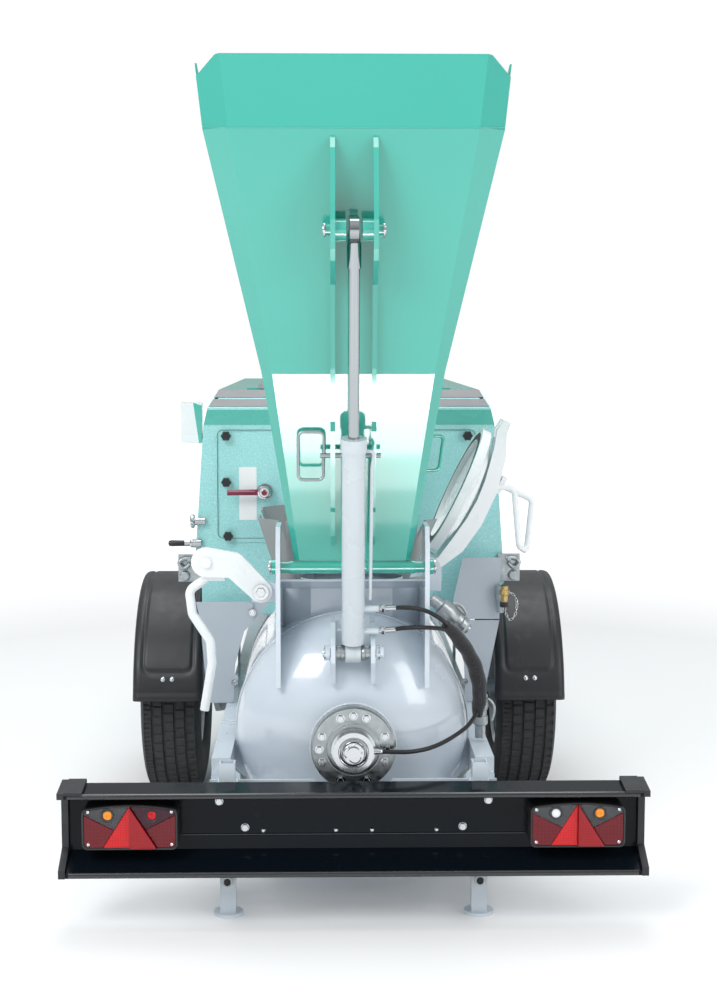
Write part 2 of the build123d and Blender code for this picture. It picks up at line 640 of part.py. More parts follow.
def cylinder_rod():
    _, _, length = ram_axis()
    shape = rod(on_ram(BARREL_LEN - 60), on_ram(length - 20), ROD_R)
    shape += rod(on_ram(BARREL_LEN - 60), on_ram(BARREL_LEN - 30), BORE_R - RUN)
    shape += rod(on_ram(length - 92), on_ram(length - 30), 17)
    eye = rod((-11, *RAM_TOP), (11, *RAM_TOP), 32)
    eye -= rod((-20, *RAM_TOP), (20, *RAM_TOP), RAM_PIN_R)
    return shape - rod((-12, *RAM_TOP), (12, *RAM_TOP), 31.9) + eye


# ---- loading skip ----
def skip_section(point, angle, flat, full, bevel, height):
    """Open channel section: flat floor, bevelled corners and upright walls."""
    t = SHEET
    outer = [(-full, height), (-full, bevel), (-flat, 0), (flat, 0), (full, bevel), (full, height)]
    inner = [(full - t, height), (full - t, bevel + 2), (flat - 2, t), (-flat + 2, t), (-full + t, bevel + 2),
             (-full + t, height)]
    plane = Plane(origin=point, x_dir=(1, 0, 0), z_dir=Vector(1, 0, 0).cross(inward(angle)))
    return plane * make_face(Polyline(*outer, *inner, close=True))


def skip_shell():
    start = PIVOT + along(CHUTE_ANGLE) * (PIVOT_TUBE_R + 2)
    sections = [skip_section(start, CHUTE_ANGLE, 140, 155, 12, 98),
                skip_section(KNEE, (CHUTE_ANGLE + TRAY_ANGLE) / 2, 204, 232, 24, 250),
                skip_section(WELD, (TRAY_ANGLE + LIP_ANGLE) / 2, 302, 366, 44, 340),
                skip_section(LIP, LIP_ANGLE, 325, 388, 44, 330)]
    shell = loft(sections[:2], ruled=True) + loft(sections[1:3], ruled=True) + loft(sections[2:], ruled=True)
    for side in (-1, 1):
        corner = [(side * 330, LIP.Z + 60), (side * 330, LIP.Z + 4), (side * 392, LIP.Z - 58),
                  (side * 450, LIP.Z - 58), (side * 450, LIP.Z + 60)]
        shell -= front_plate(corner, LIP.Y - 80, LIP.Y + 60)
    return shell


def skip_rails():
    """Stiffening ribs with the cylinder ears, the pivot tube and its stubs."""
    outline = [on_chute(70, 0), on_chute(70, 14), on_chute(100, 24), on_chute(170, 24), on_chute(190, 42),
               on_chute(400, 42), on_chute(420, 24), on_tray(20, 24), on_tray(230, 24), on_tray(300, 96),
               on_tray(330, 108), on_tray(400, 108), on_tray(440, 92), on_tray(560, 30), on_tray(585, 0),
               on_tray(0, 0)]
    pieces = []
    for side in (-1, 1):
        x0, x1 = sorted((side * (SKIP_LUG_X - LUG_T / 2), side * (SKIP_LUG_X + LUG_T / 2)))
        rib = side_plate(outline, x0, x1)
        lock = on_chute(330, 30)
        rib -= rod((x0 - 5, *lock), (x1 + 5, *lock), 6 + RUN * 4)
        boss = sorted((side * 20, side * 46))
        rib += rod((boss[0], *RAM_TOP), (boss[1], *RAM_TOP), 27)
        knob = sorted((side * 58, side * 70))
        rib += rod((knob[0], *RAM_TOP), (knob[1], *RAM_TOP), 15)
        pieces.append(rib)
    tube = rod((-166, PIVOT_Y, PIVOT_Z), (166, PIVOT_Y, PIVOT_Z), PIVOT_TUBE_R)
    tube += rod((-EAR_IN + GAP, PIVOT_Y, PIVOT_Z), (EAR_IN - GAP, PIVOT_Y, PIVOT_Z), 15.5)
    tube += rod((-EAR_OUT - 14, PIVOT_Y, PIVOT_Z), (EAR_OUT + 14, PIVOT_Y, PIVOT_Z), PIVOT_PIN_R)
    for side in (-1, 1):
        collar = sorted((side * (EAR_OUT + GAP), side * (EAR_OUT + 12)))
        tube += rod((collar[0], PIVOT_Y, PIVOT_Z), (collar[1], PIVOT_Y, PIVOT_Z), 20)
    return pieces + [tube]


def skip_handle():
    """Bent round-bar handle on the right wall."""
    y, z = on_chute(300, -60)
    x = 196.0
    points = [(x - 6, y + 10, z + 45), (x + 42, y + 10, z + 45), (x + 30, y + 10, z - 45), (x - 24, y + 10, z - 45)]
    return largest(bent_tube(points, 5, 12) - skip_shell())


def skip_lock_pin():
    y, z = on_chute(330, 30)
    pin = rod((-84, y, z), (70, y, z), 6)
    pin += bent_tube([(-74, y, z + 5), (-74, y, z + 60), (-140, y, z + 60), (-140, y, z - 62), (-76, y, z - 62),
                      (-76, y, z - 5)], 4, 14)
    return pin


# ---- lid ----
def opened(shape):
    """Move a lid piece from its closed place to its stored open place."""
    return Pos(LID_X, 0, LID_Z) * Rot(0, LID_OPEN, 0) * Pos(-LID_X, 0, -LID_Z) * shape


def lid_dome():
    profile = [(0, LID_FACE + 34), (150, LID_FACE + 14), (150, LID_FACE), (152, LID_FACE), (152, LID_FACE + 9),
               (174, LID_FACE + 9), (174, LID_FACE), (LID_R, LID_FACE), (LID_R, LID_FACE + 26),
               (160, LID_FACE + 34), (120, LID_FACE + 50), (60, LID_FACE + 60), (0, LID_FACE + 62)]
    dome = revolve(Plane.XZ * make_face(Polyline(*profile, close=True)), axis=Axis.Z)
    return opened(Pos(0, NECK_Y, 0) * dome)


def lid_seal():
    seal = rod((0, NECK_Y, LID_FACE), (0, NECK_Y, LID_FACE + 9), 173.9)
    seal -= rod((0, NECK_Y, LID_FACE - 1), (0, NECK_Y, LID_FACE + 10), 152.1)
    return opened(seal)


def lid_arm():
    """Curved carrier over the dome with the hinge boss and the latch fork."""
    z = LID_FACE
    arc = [(LID_X, LID_Z - 22), (196, z + 40), (150, z + 50), (60, z + 66), (0, z + 70), (-60, z + 66),
           (-150, z + 50), (-200, z + 36), (-236, z + 40), (-236, z + 62), (-200, z + 66), (-140, z + 92),
           (-40, z + 112), (60, z + 112), (150, z + 96), (LID_X + 4, LID_Z + 24)]
    arm = front_plate(arc, NECK_Y - 48, NECK_Y + 48)
    arm += rod((LID_X, 592, LID_Z), (LID_X, 708, LID_Z), 24)
    arm += rod((LID_X, 572, LID_Z), (LID_X, 728, LID_Z), 12.5)
    arm -= block(-260, -180, NECK_Y - 22, NECK_Y + 22, z, z + 130)
    arm += block(-90, -40, NECK_Y - 40, NECK_Y + 40, z + 108, z + 122)
    return opened(arm)


def lid_handle():
    route = [(400, 610, 1062), (462, 612, 1056), (478, 618, 890), (508, 686, 866), (524, 694, 1016),
             (420, 694, 1062)]
    return largest(bent_tube(route, 8.5, 18) - lid_arm())


# ---- lid lock ----
def lock_lever():
    big_x, big_z = -392.0, 880.0
    y0, y1 = 374.0, 388.0
    mid_x, mid_z = -318.0, 872.0
    plate = rod((LOCK_X, y0, LOCK_Z), (LOCK_X, y1, LOCK_Z), 30) + rod((big_x, y0, big_z), (big_x, y1, big_z), 40)
    plate += rod((mid_x, y0, mid_z), (mid_x, y1, mid_z), 34)
    for (xa, za, ra), (xb, zb, rb) in ((((LOCK_X, LOCK_Z, 30)), (mid_x, mid_z, 34)),
                                       ((mid_x, mid_z, 34), (big_x, big_z, 40))):
        a = math.atan2(zb - za, xb - xa) + math.pi / 2
        c, s = math.cos(a), math.sin(a)
        quad = [(xa + ra * c, za + ra * s), (xb + rb * c, zb + rb * s), (xb - rb * c, zb - rb * s),
                (xa - ra * c, za - ra * s)]
        plate += front_plate(quad, y0, y1)
    plate += rod((LOCK_X, y0 - 8, LOCK_Z), (LOCK_X, 440, LOCK_Z), 10)
    plate += rod((LOCK_X, y0 - 10, LOCK_Z), (LOCK_X, y0, LOCK_Z), 17)
    plate += rod((big_x, y0 - 10, big_z), (big_x, y0, big_z), 14)
    plate += block(big_x - 12, big_x + 50, y1, y1 + 34, big_z - 52, big_z - 20)
    return plate


def lock_handle():
    route = [(-372, 404, 848), (-440, 404, 800), (-432, 404, 735), (-384, 404, 660), (-380, 404, 600),
             (-402, 404, 470)]
    tube = bent_tube(route, 12.5, 26)
    return tube - block(-404, -342, 388, 422.1, 828, 860)


# ---- hood ----
def hood_outline(inset):
    roof = HOOD_HALF[-1][1]
    right = [(x - inset, z - inset if z == roof else z) for x, z in HOOD_HALF]
    return right + [(-x, z) for x, z in reversed(right)]


def hood_prism(inset, y0, y1):
    return front_plate(hood_outline(inset), y0, y1)


def door_region(side, margin):
    x0, x1 = sorted((side * (DOOR_HINGE_X - 8 + margin), side * 520))
    return block(x0, x1, DOOR_BACK + margin, DOOR_FRONT - margin, DOOR_LOW + margin, 1400)


def rear_slope():
    """Wedge that takes the hood's top rear edge off."""
    return side_plate([(HOOD_BACK - 5, 1400), (HOOD_BACK - 5, 1270), (HOOD_BACK, 1270), (HOOD_BACK + 66, 1322),
                       (HOOD_BACK + 66, 1400)], -520, 520)


def hood_shell():
    t = HOOD_SKIN
    hood = hood_prism(0, HOOD_BACK, HOOD_FRONT) - hood_prism(t, HOOD_BACK + t, HOOD_FRONT - t)
    hood += hood_prism(t, HOOD_BACK + 60, HOOD_BACK + 66) - block(-380, 380, 0, 4000, 600, 1260)
    for side in (-1, 1):
        hood -= door_region(side, 0)
    hood -= rear_slope()
    hood += side_plate([(HOOD_BACK, 1264), (HOOD_BACK, 1270), (HOOD_BACK + 66, 1322), (HOOD_BACK + 66, 1316)],
                       -398, 398)
    for i in range(9):
        z = 820 + i * 40
        hood -= block(-300, 300, HOOD_FRONT - 6, HOOD_FRONT + 2, z, z + 18)
    floor = block(-446, 446, HOOD_BACK + t, HOOD_FRONT - t, 640, 644)
    return hood + floor - rod((0, 900, VESSEL_Z), (0, 1300, VESSEL_Z), VESSEL_R + 6)


def hood_door(side):
    door = hood_prism(0, DOOR_BACK, DOOR_FRONT) - hood_prism(HOOD_SKIN, DOOR_BACK - 1, DOOR_FRONT + 1)
    door = door & door_region(side, 3)
    for y in (1085, 2440):
        door += rod((side * DOOR_HINGE_X, y, DOOR_HINGE_Z), (side * DOOR_HINGE_X, y + 40, DOOR_HINGE_Z), 6)
        x0, x1 = sorted((side * DOOR_HINGE_X, side * (DOOR_HINGE_X + 46)))
        door += block(x0, x1, y, y + 40, 1322, 1326)
        x0, x1 = sorted((side * DOOR_HINGE_X, side * (DOOR_HINGE_X + 6)))
        door += block(x0, x1, y, y + 40, 1324, DOOR_HINGE_Z)
    return door


def rear_panel():
    panel = block(-392, 376, HOOD_BACK - 4, HOOD_BACK, 862, 1198)
    edges = [e for e in panel.edges() if abs((e % 0).Y) > 0.9]
    panel = fillet(edges, 22)
    return panel


def panel_knobs():
    knobs = []
    for x, z in ((-372, 1186), (-372, 1046), (-368, 882), (358, 1186), (358, 1046), (354, 882)):
        knobs.append(rod((x, HOOD_BACK - 12, z), (x, HOOD_BACK - 4, z), 8)
                     + rod((x, HOOD_BACK - 30, z), (x, HOOD_BACK - 12, z), 15))
    return knobs


def valve_lever():
    x, z, y = -256.0, 1018.0, HOOD_BACK - 4
    lever = rod((x, y - 46, z), (x, y - 26, z), 20) + rod((x, y - 60, z), (x, y - 46, z), 8)
    lever += front_plate([(x, z - 9), (x, z + 9), (x - 112, z + 7), (x - 112, z - 9)], y - 42, y - 36)
    lever -= rod((x, y - 50, z), (x, y - 20, z), 7 + RUN)
    return lever


def valve_body():
    x, z, y = -256.0, 1018.0, HOOD_BACK - 4
    body = rod((x, y - 24, z), (x, y, z), 24)
    body += rod((x, y - 46, z), (x, y - 24, z), 7)
    return body


def control_flap():
    box = block(-512, -448, 985, 1015, 1160, 1284)
    arm = block(-478, -444, 1015, 1027, 1168, 1190)
    return box + arm - hood_prism(0, 900, 1100)


# ---- power unit inside the hood ----
def engine_block():
    engine = block(-190, 190, 1960, 2360, 660, 960)
    engine += block(-150, 150, 1990, 2330, 960, 1060)
    engine -= block(-160, 160, 1990, 2330, 690, 935)
    for x in (-150, 114):
        engine += rod((x + 18, 2000, 1060), (x + 18, 2320, 1060), 26)
    engine += rod((0, 2360, 790), (0, 2386, 790), 140)
    engine += rod((120, 2100, 1060), (120, 2100, 1180), 40)
    return engine


def air_compressor():
    body = rod((0, 1480, 900), (0, 1860, 900), 150)
    for i in range(8):
        y = 1500 + i * 44
        body += rod((0, y, 900), (0, y + 8, 900), 166)
    body += block(-120, 120, 1500, 1840, 660, 770)
    body -= rod((0, 1510, 900), (0, 1830, 900), 118)
    body += rod((0, 1860, 900), (0, 1955, 900), 60)
    return body


def gearbox():
    box = block(-150, 150, 1262, 1420, 300, 620)
    box -= rod((0, 1200, VESSEL_Z), (0, 1340, VESSEL_Z), SHAFT_R + RUN)
    box += block(-60, 60, 1300, 1400, 620, 639)
    return box


def fuel_tank():
    tank = block(-420, -230, 1500, 1860, 650, 1000)
    tank = fillet([e for e in tank.edges() if abs((e % 0).Z) > 0.9], 30)
    tank += rod((-325, 1560, 1000), (-325, 1560, 1030), 32)
    return tank


# ---- sides, pipes and fittings ----
def side_shields():
    left = [(-462, 690), (-450, 634), (-430, 382), (-352, 382), (-346, 500), (-318, 600), (-240, 690)]
    right = [(240, 632), (318, 600), (346, 500), (352, 384), (404, 384), (452, 632)]
    upper = [(300, 636), (452, 636), (454, 822), (340, 822)]
    pieces = [front_plate(left, 872, 876), front_plate(right, 872, 876), front_plate(upper, 872, 876)]
    bolts = [(-300, 680), (-345, 460)]
    for x, z in bolts:
        pieces.append(rod((x, 862, z), (x, 872, z), 9))
    return pieces


def outlet_pipe():
    """Material outlet from the vessel's lower right, with its lever-type coupling."""
    y, z = 520.0, VESSEL_Z - 250
    pipe = rod((268, y, z), (372, y, z), 39.5, 30)
    pipe += rod((372, y, z), (392, y, z), 62, 30)
    pipe += rod((392, y, z), (440, y, z), 44, 30)
    pipe += rod((440, y, z), (462, y, z), 54, 30)
    return pipe


def air_fittings():
    """Air line down the right side of the neck with its quick couplings."""
    pieces = [rod((214, 400, 776), (262, 400, 740), 17) + rod((262, 400, 740), (292, 400, 712), 24),
              rod((292, 400, 712), (316, 400, 690), 15)]
    down = rod((350, 400, 512), (350, 400, 470), 20) + rod((350, 400, 470), (350, 400, 392), 14)
    pieces.append(down)
    plug = rod((452, 850, 742), (452, 850, 700), 16) + rod((452, 850, 700), (452, 850, 660), 11)
    pieces.append(plug)
    return pieces


HOSE_R, SLEEVE_R = 5.8, 21.0
PORT_X = 69.0


def hoses():
    """Two lift-cylinder hoses, their textile sleeve and the line to the shaft cap."""
    low, axis, _ = ram_axis()
    upper = low + axis * 124 + Vector(PORT_X, 0, 0)
    lower = low + axis * 62 + Vector(PORT_X, 0, 0)
    up = bent_tube([tuple(upper), (130, 208, 786), (196, 236, 770), (262, 300, 722)], HOSE_R, 40)
    lo = bent_tube([tuple(lower), (120, 214, 722), (190, 240, 716), (262, 306, 698)], HOSE_R, 40)
    sleeve = bent_tube([(262, 306, 716), (306, 334, 650), (342, 352, 560), (338, 352, 462)], SLEEVE_R, 70)
    cap = bent_tube([(64, FLANGE_Y - 26, VESSEL_Z), (130, 136, 418), (220, 180, 428), (300, 270, 446),
                     (336, 330, 462)], HOSE_R, 46)
    return [up, lo, sleeve, cap]


# ---- build every node ----
def build():
    outer = vessel_body(VESSEL_R, DOME)
    keep("chassis_frame", chassis_frame())
    keep("axle_beam", axle_beam())
    keep("mudguard_right", mudguard())
    keep("mudguard_left", mirrored(mudguard()))
    for name, side in (("left", -1), ("right", 1)):
        keep("tyre_" + name, tyre(side * WHEEL_X))
        keep("rim_" + name, rim(side))
        keep("leg_" + name, leg(side))
        keep("hood_door_" + name, hood_door(side))
    keep("drawbar", drawbar())
    keep("overrun_housing", overrun_housing())
    keep("coupling_head", coupling_head())
    keep("coupling_handle", coupling_handle())
    keep("brake_lever", brake_lever())
    keep("jockey_tube", jockey_tube())
    keep("jockey_fork", jockey_fork())
    keep("jockey_wheel", jockey_wheel())
    keep("light_bar", light_bar())
    keep("bar_end_caps", joined([bar_end_cap(), mirrored(bar_end_cap())]))
    lamp = lamp_parts()
    for name, piece in zip(("lamp_housings", "lamp_red_lenses", "lamp_clear_lenses", "lamp_triangles"), lamp):
        keep(name, joined([Pos(x, 0, 0) * piece for x in (-LAMP_X, LAMP_X)]))
    keep("pressure_vessel", joined(pressure_vessel(outer)))
    keep("filling_neck", joined(filling_neck(outer)))
    keep("filling_funnel", filling_funnel())
    keep("vessel_saddles", joined(vessel_saddles(outer)))
    keep("bearing_flange", bearing_flange() - outer)
    keep("bolts", joined(bar_bolts() + flange_bolts()))
    keep("shaft_cap", shaft_cap())
    keep("mixer_shaft", mixer_shaft())
    keep("cylinder_lugs", joined(cylinder_lugs(outer) + [lower_pin()]))
    keep("cylinder_barrel", cylinder_barrel())
    keep("cylinder_rod", cylinder_rod())
    keep("skip_shell", skip_shell())
    keep("skip_rails", joined(skip_rails()))
    keep("skip_handle", skip_handle())
    keep("skip_lock_pin", skip_lock_pin())
    keep("lid_dome", lid_dome())
    keep("lid_seal", lid_seal())
    keep("lid_arm", lid_arm())
    keep("lid_handle", lid_handle())
    keep("lock_lever", lock_lever())
    keep("lock_handle", lock_handle())
    keep("side_shields", joined(side_shields()))
    keep("hood_shell", hood_shell())
    keep("rear_panel", rear_panel())
    keep("panel_knobs", joined(panel_knobs()))
    keep("valve_lever", valve_lever())
    keep("control_flap", control_flap())
    keep("engine_block", engine_block())
    keep("air_compressor", air_compressor())
    keep("gearbox", gearbox())
    keep("fuel_tank", fuel_tank())
    keep("outlet_pipe", outlet_pipe())
    keep("air_fittings", joined(air_fittings() + [valve_body()]))
    keep("hoses", joined(hoses()))


build()
for node, shape in nodes.items():
    export_step(shape, "parts/" + node + ".step")
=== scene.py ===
import math

import bmesh
import bpy
from mathutils import Matrix, Vector


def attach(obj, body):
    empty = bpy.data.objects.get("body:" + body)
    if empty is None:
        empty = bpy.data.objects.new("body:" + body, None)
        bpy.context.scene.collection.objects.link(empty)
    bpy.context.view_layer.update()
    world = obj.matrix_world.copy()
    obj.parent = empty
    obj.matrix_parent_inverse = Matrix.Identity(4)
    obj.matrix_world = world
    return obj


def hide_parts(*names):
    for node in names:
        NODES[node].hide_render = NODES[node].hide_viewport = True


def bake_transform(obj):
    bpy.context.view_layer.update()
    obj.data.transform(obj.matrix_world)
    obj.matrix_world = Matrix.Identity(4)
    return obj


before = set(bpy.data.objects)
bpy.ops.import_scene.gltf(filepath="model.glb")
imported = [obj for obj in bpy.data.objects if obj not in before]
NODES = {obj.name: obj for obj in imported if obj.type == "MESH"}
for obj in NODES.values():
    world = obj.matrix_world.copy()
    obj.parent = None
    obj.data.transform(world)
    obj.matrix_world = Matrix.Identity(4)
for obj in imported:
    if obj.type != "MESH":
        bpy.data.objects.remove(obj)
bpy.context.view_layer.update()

# Places below are set out as in the part: metres from the light bar's rear lip, which
# lies REAR behind the origin.
REAR = -1.96047


def at(x, y, z):
    """Row frame point from millimetres measured at the light bar's rear lip."""
    return Vector((x / 1000, y / 1000 + REAR, z / 1000))


# ---- camera ----
LENS_MM, SENSOR_MM = 56.77, 36.0
CAMERA_PLACE = at(-63, -3822, 1467)
CAMERA_DOWN, CAMERA_YAW = 5.71, -1.093      # degrees


def make_camera():
    """Standing behind the light bar, a little above the vessel and looking slightly down."""
    data = bpy.data.cameras.new("camera")
    data.lens = LENS_MM
    data.sensor_width = SENSOR_MM
    data.clip_end = 100.0
    camera = bpy.data.objects.new("camera", data)
    camera.location = CAMERA_PLACE
    camera.rotation_euler = (math.radians(90 - CAMERA_DOWN), 0, math.radians(CAMERA_YAW))
    bpy.context.scene.collection.objects.link(camera)
    bpy.context.scene.camera = camera


make_camera()


# ---- materials ----
def set_inputs(node, values):
    for name, value in values.items():
        node.inputs[name].default_value = value


class Shader:
    """A Principled material with a few procedural helpers."""

    def __init__(self, name, color, roughness=0.4, metallic=0.0, coat=0.0, spec=0.5):
        self.mat = bpy.data.materials.new(name)
        self.mat.use_nodes = True
        self.tree = self.mat.node_tree
        self.bsdf = self.tree.nodes["Principled BSDF"]
        self.color = tuple(color)
        set_inputs(self.bsdf, {"Base Color": (*color, 1), "Roughness": roughness,
                               "Metallic": metallic, "Coat Weight": coat, "Coat Roughness": 0.06,
                               "Specular IOR Level": spec})
        self.coords = self.node("ShaderNodeTexCoord")
        self.normal = None

    def node(self, kind, **settings):
        made = self.tree.nodes.new(kind)
        for key, value in settings.items():
            setattr(made, key, value)
        return made

    def link(self, source, target):
        self.tree.links.new(source, target)

    def noise(self, scale, detail=4.0, rough=0.5, stretch=(1, 1, 1)):
        place = self.node("ShaderNodeMapping")
        place.inputs["Scale"].default_value = stretch
        self.link(self.coords.outputs["Object"], place.inputs["Vector"])
        texture = self.node("ShaderNodeTexNoise")
        set_inputs(texture, {"Scale": scale, "Detail": detail, "Roughness": rough})
        self.link(place.outputs["Vector"], texture.inputs["Vector"])
        return texture.outputs["Fac"]

    def cells(self, scale, randomness):
        made = self.node("ShaderNodeTexVoronoi", feature="F1")
        set_inputs(made, {"Scale": scale, "Randomness": randomness})
        self.link(self.coords.outputs["Object"], made.inputs["Vector"])
        return made.outputs["Distance"]

    def ramp(self, value, low, high, a, b):
        remap = self.node("ShaderNodeMapRange")
        set_inputs(remap, {"From Min": low, "From Max": high, "To Min": a, "To Max": b})
        self.link(value, remap.inputs["Value"])
        return remap.outputs["Result"]

    def tint(self, value, low, high, most, other):
        """Mixes another colour in where the value is high."""
        factor = self.ramp(value, low, high, 0.0, most)
        mix = self.node("ShaderNodeMix", data_type="RGBA")
        set_inputs(mix, {"A": (*self.color, 1), "B": (*other, 1)})
        current = self.bsdf.inputs["Base Color"]
        if current.is_linked:
            self.link(current.links[0].from_socket, mix.inputs["A"])
        self.link(factor, mix.inputs["Factor"])
        self.link(mix.outputs["Result"], current)
        return self

    def rough(self, value, low, high):
        self.link(self.ramp(value, 0.3, 0.7, low, high), self.bsdf.inputs["Roughness"])
        return self

    def bump(self, height, strength, distance):
        made = self.node("ShaderNodeBump")
        set_inputs(made, {"Strength": strength, "Distance": distance})
        self.link(height, made.inputs["Height"])
        if self.normal:
            self.link(self.normal, made.inputs["Normal"])
        self.normal = made.outputs["Normal"]
        self.link(self.normal, self.bsdf.inputs["Normal"])
        return self


def shade(color, amount):
    return tuple(c * amount for c in color)


def paint(name, color, roughness=0.22, coat=0.6, peel=0.25, dust=0.12, spec=0.5):
    """Sprayed enamel: slight orange peel, uneven tone and gloss, and a little dust."""
    s = Shader(name, color, roughness, coat=coat, spec=spec)
    broad = s.noise(3.0, 3.0)
    s.tint(broad, 0.35, 0.75, 0.35, shade(color, 0.93))
    s.tint(s.noise(22.0, 8.0, 0.7), 0.62, 0.85, dust, (0.62, 0.60, 0.56))
    s.rough(s.noise(9.0, 5.0), roughness * 0.8, roughness * 1.4)
    s.bump(s.noise(160.0, 2.0), peel, 0.0004)
    return s.mat


def grain_paint(name, color):
    """Powder coat with a fine leather-like grain."""
    s = Shader(name, color, 0.42, coat=0.15)
    s.tint(s.noise(4.0, 3.0), 0.35, 0.7, 0.4, shade(color, 0.92))
    grain = s.noise(330.0, 3.0, 0.6)
    s.tint(grain, 0.42, 0.62, 0.6, shade(color, 0.72))
    s.tint(s.noise(210.0, 2.0, 0.5), 0.58, 0.7, 0.5, (0.62, 0.86, 0.86))
    s.bump(grain, 0.55, 0.0012)
    return s.mat


def metal(name, color, roughness, brushed=(1, 1, 1), spots=0.3):
    s = Shader(name, color, roughness, metallic=1.0)
    s.rough(s.noise(60.0, 6.0, 0.6, brushed), roughness * 0.7, roughness * 1.5)
    s.tint(s.noise(35.0, 8.0, 0.7), 0.5, 0.8, spots, shade(color, 0.55))
    s.bump(s.noise(300.0, 4.0, 0.6, brushed), 0.15, 0.0003)
    return s.mat


def moulded(name, color, roughness=0.5, grain=0.35, scale=520.0):
    s = Shader(name, color, roughness)
    s.tint(s.noise(14.0, 8.0, 0.7), 0.55, 0.85, 0.18, (0.20, 0.20, 0.20))
    s.rough(s.noise(30.0, 5.0), roughness * 0.85, roughness * 1.15)
    s.bump(s.noise(scale, 3.0), grain, 0.0005)
    return s.mat


def tyre_rubber():
    s = Shader("tyre_rubber", (0.022, 0.024, 0.026), 0.72)
    s.tint(s.noise(9.0, 8.0, 0.7), 0.45, 0.8, 0.45, (0.075, 0.07, 0.063))
    s.bump(s.noise(420.0, 3.0), 0.3, 0.0006)
    return s.mat


def lens(name, color, cells=90.0, glow=0.0):
    """Signal lens with rows of small prisms inside."""
    s = Shader(name, color, 0.12, coat=0.3, spec=0.25)
    prisms = s.cells(cells, 0.0)
    s.tint(prisms, 0.25, 0.75, 0.75, shade(color, 0.45))
    s.bump(prisms, 0.5, 0.002)
    if glow:
        set_inputs(s.bsdf, {"Emission Color": (*color, 1), "Emission Strength": glow})
    return s.mat


def clear_lens():
    s = Shader("clear_lens", (0.13, 0.135, 0.145), 0.12, coat=0.25, spec=0.3)
    s.bsdf.inputs["Alpha"].default_value = 0.38
    ribs = s.node("ShaderNodeTexWave", wave_type="BANDS", bands_direction="X")
    ribs.inputs["Scale"].default_value = 120.0
    s.link(s.coords.outputs["Object"], ribs.inputs["Vector"])
    s.bump(ribs.outputs["Fac"], 0.35, 0.0015)
    return s.mat


def braid():
    """Woven textile sleeve."""
    s = Shader("braid", (0.006, 0.006, 0.007), 0.8, spec=0.2)
    weave = s.cells(380.0, 0.15)
    s.tint(weave, 0.2, 0.7, 0.8, (0.05, 0.05, 0.055))
    s.bump(weave, 0.7, 0.0015)
    s.bsdf.inputs["Sheen Weight"].default_value = 0.3
    return s.mat


MATS = {
    "green": paint("green_enamel", (0.040, 0.395, 0.320), 0.10, 1.0, 0.04, 0.03),
    "green_dark": paint("green_enamel_hood", (0.070, 0.44, 0.365), 0.25, 0.6, 0.2, 0.05),
    "turquoise": grain_paint("turquoise_powder", (0.36, 0.74, 0.735)),
    "vessel": paint("vessel_enamel", (0.60, 0.67, 0.74), 0.2, 0.7, 0.3, 0.1),
    "white": paint("arm_enamel", (0.80, 0.835, 0.845), 0.25, 0.5, 0.3, 0.12),
    "barrel": paint("barrel_enamel", (0.54, 0.60, 0.635), 0.25, 0.5, 0.3, 0.12),
    "frame": paint("frame_enamel", (0.60, 0.67, 0.73), 0.3, 0.4, 0.3, 0.2),
    "shield": paint("shield_enamel", (0.42, 0.47, 0.52), 0.35, 0.3, 0.3, 0.15),
    "funnel": paint("funnel_enamel", (0.225, 0.25, 0.255), 0.3, 0.4, 0.3, 0.3),
    "roof": paint("roof_grey", (0.145, 0.15, 0.16), 0.35, 0.25, 0.3, 0.15),
    "bar": paint("bar_enamel", (0.0035, 0.0060, 0.0095), 0.16, 0.10, 0.1, 0.02, 0.12),
    "rail": paint("rail_enamel", (0.006, 0.008, 0.011), 0.22, 0.8, 0.1, 0.02, 0.5),
    "cap": moulded("cap_plastic", (0.012, 0.014, 0.018), 0.38, 0.3),
    "guard": moulded("guard_plastic", (0.013, 0.0145, 0.018), 0.40, 0.4),
    "case": moulded("lamp_case", (0.02, 0.02, 0.022), 0.35, 0.2),
    "knob": moulded("knob_plastic", (0.012, 0.012, 0.013), 0.35, 0.2),
    "tank": moulded("tank_plastic", (0.03, 0.03, 0.033), 0.5, 0.3),
    "rubber": moulded("hose_rubber", (0.006, 0.006, 0.007), 0.42, 0.3),
    "seal": moulded("seal_rubber", (0.018, 0.018, 0.02), 0.6, 0.3),
    "zinc": metal("zinc", (0.40, 0.435, 0.45), 0.34),
    "bright": metal("bright_chrome", (0.58, 0.60, 0.62), 0.15, spots=0.1),
    "rod": metal("hard_chrome", (0.36, 0.385, 0.40), 0.09, (1, 1, 0.05), 0.05),
    "brass": metal("brass", (0.50, 0.36, 0.15), 0.28),
    "cast": metal("painted_casting", (0.20, 0.22, 0.24), 0.5),
    "rim": paint("rim_silver", (0.50, 0.52, 0.54), 0.3, 0.4, 0.2, 0.2),
    "red": paint("lever_red", (0.20, 0.010, 0.045), 0.3, 0.3),
    "tyre": tyre_rubber(),
    "lens_red": lens("lens_red", (0.55, 0.006, 0.012), glow=0.10),
    # Triangle halves: a brighter, glowing copy as painted light and a darker, dimmer copy
    # (lens_triangle_shaded) as painted shade.
    "triangle": lens("lens_triangle", (0.62, 0.008, 0.012), cells=150.0, glow=0.14),
    "triangle_painted_shade": lens("lens_triangle_shaded", (0.36, 0.004, 0.010), cells=150.0, glow=0.05),
    "lens_dark": lens("lens_dark_red", (0.15, 0.002, 0.008), cells=110.0, glow=0.02),
    "lens_plum": lens("lens_plum", (0.050, 0.004, 0.016), cells=80.0),
    "lens_clear": clear_lens(),
    "amber": lens("amber_bulb", (0.85, 0.26, 0.02), glow=0.3),
    "braid": braid(),
    "decal": paint("decal_white", (0.83, 0.85, 0.86), 0.35, 0.3, 0.1, 0.05),
}

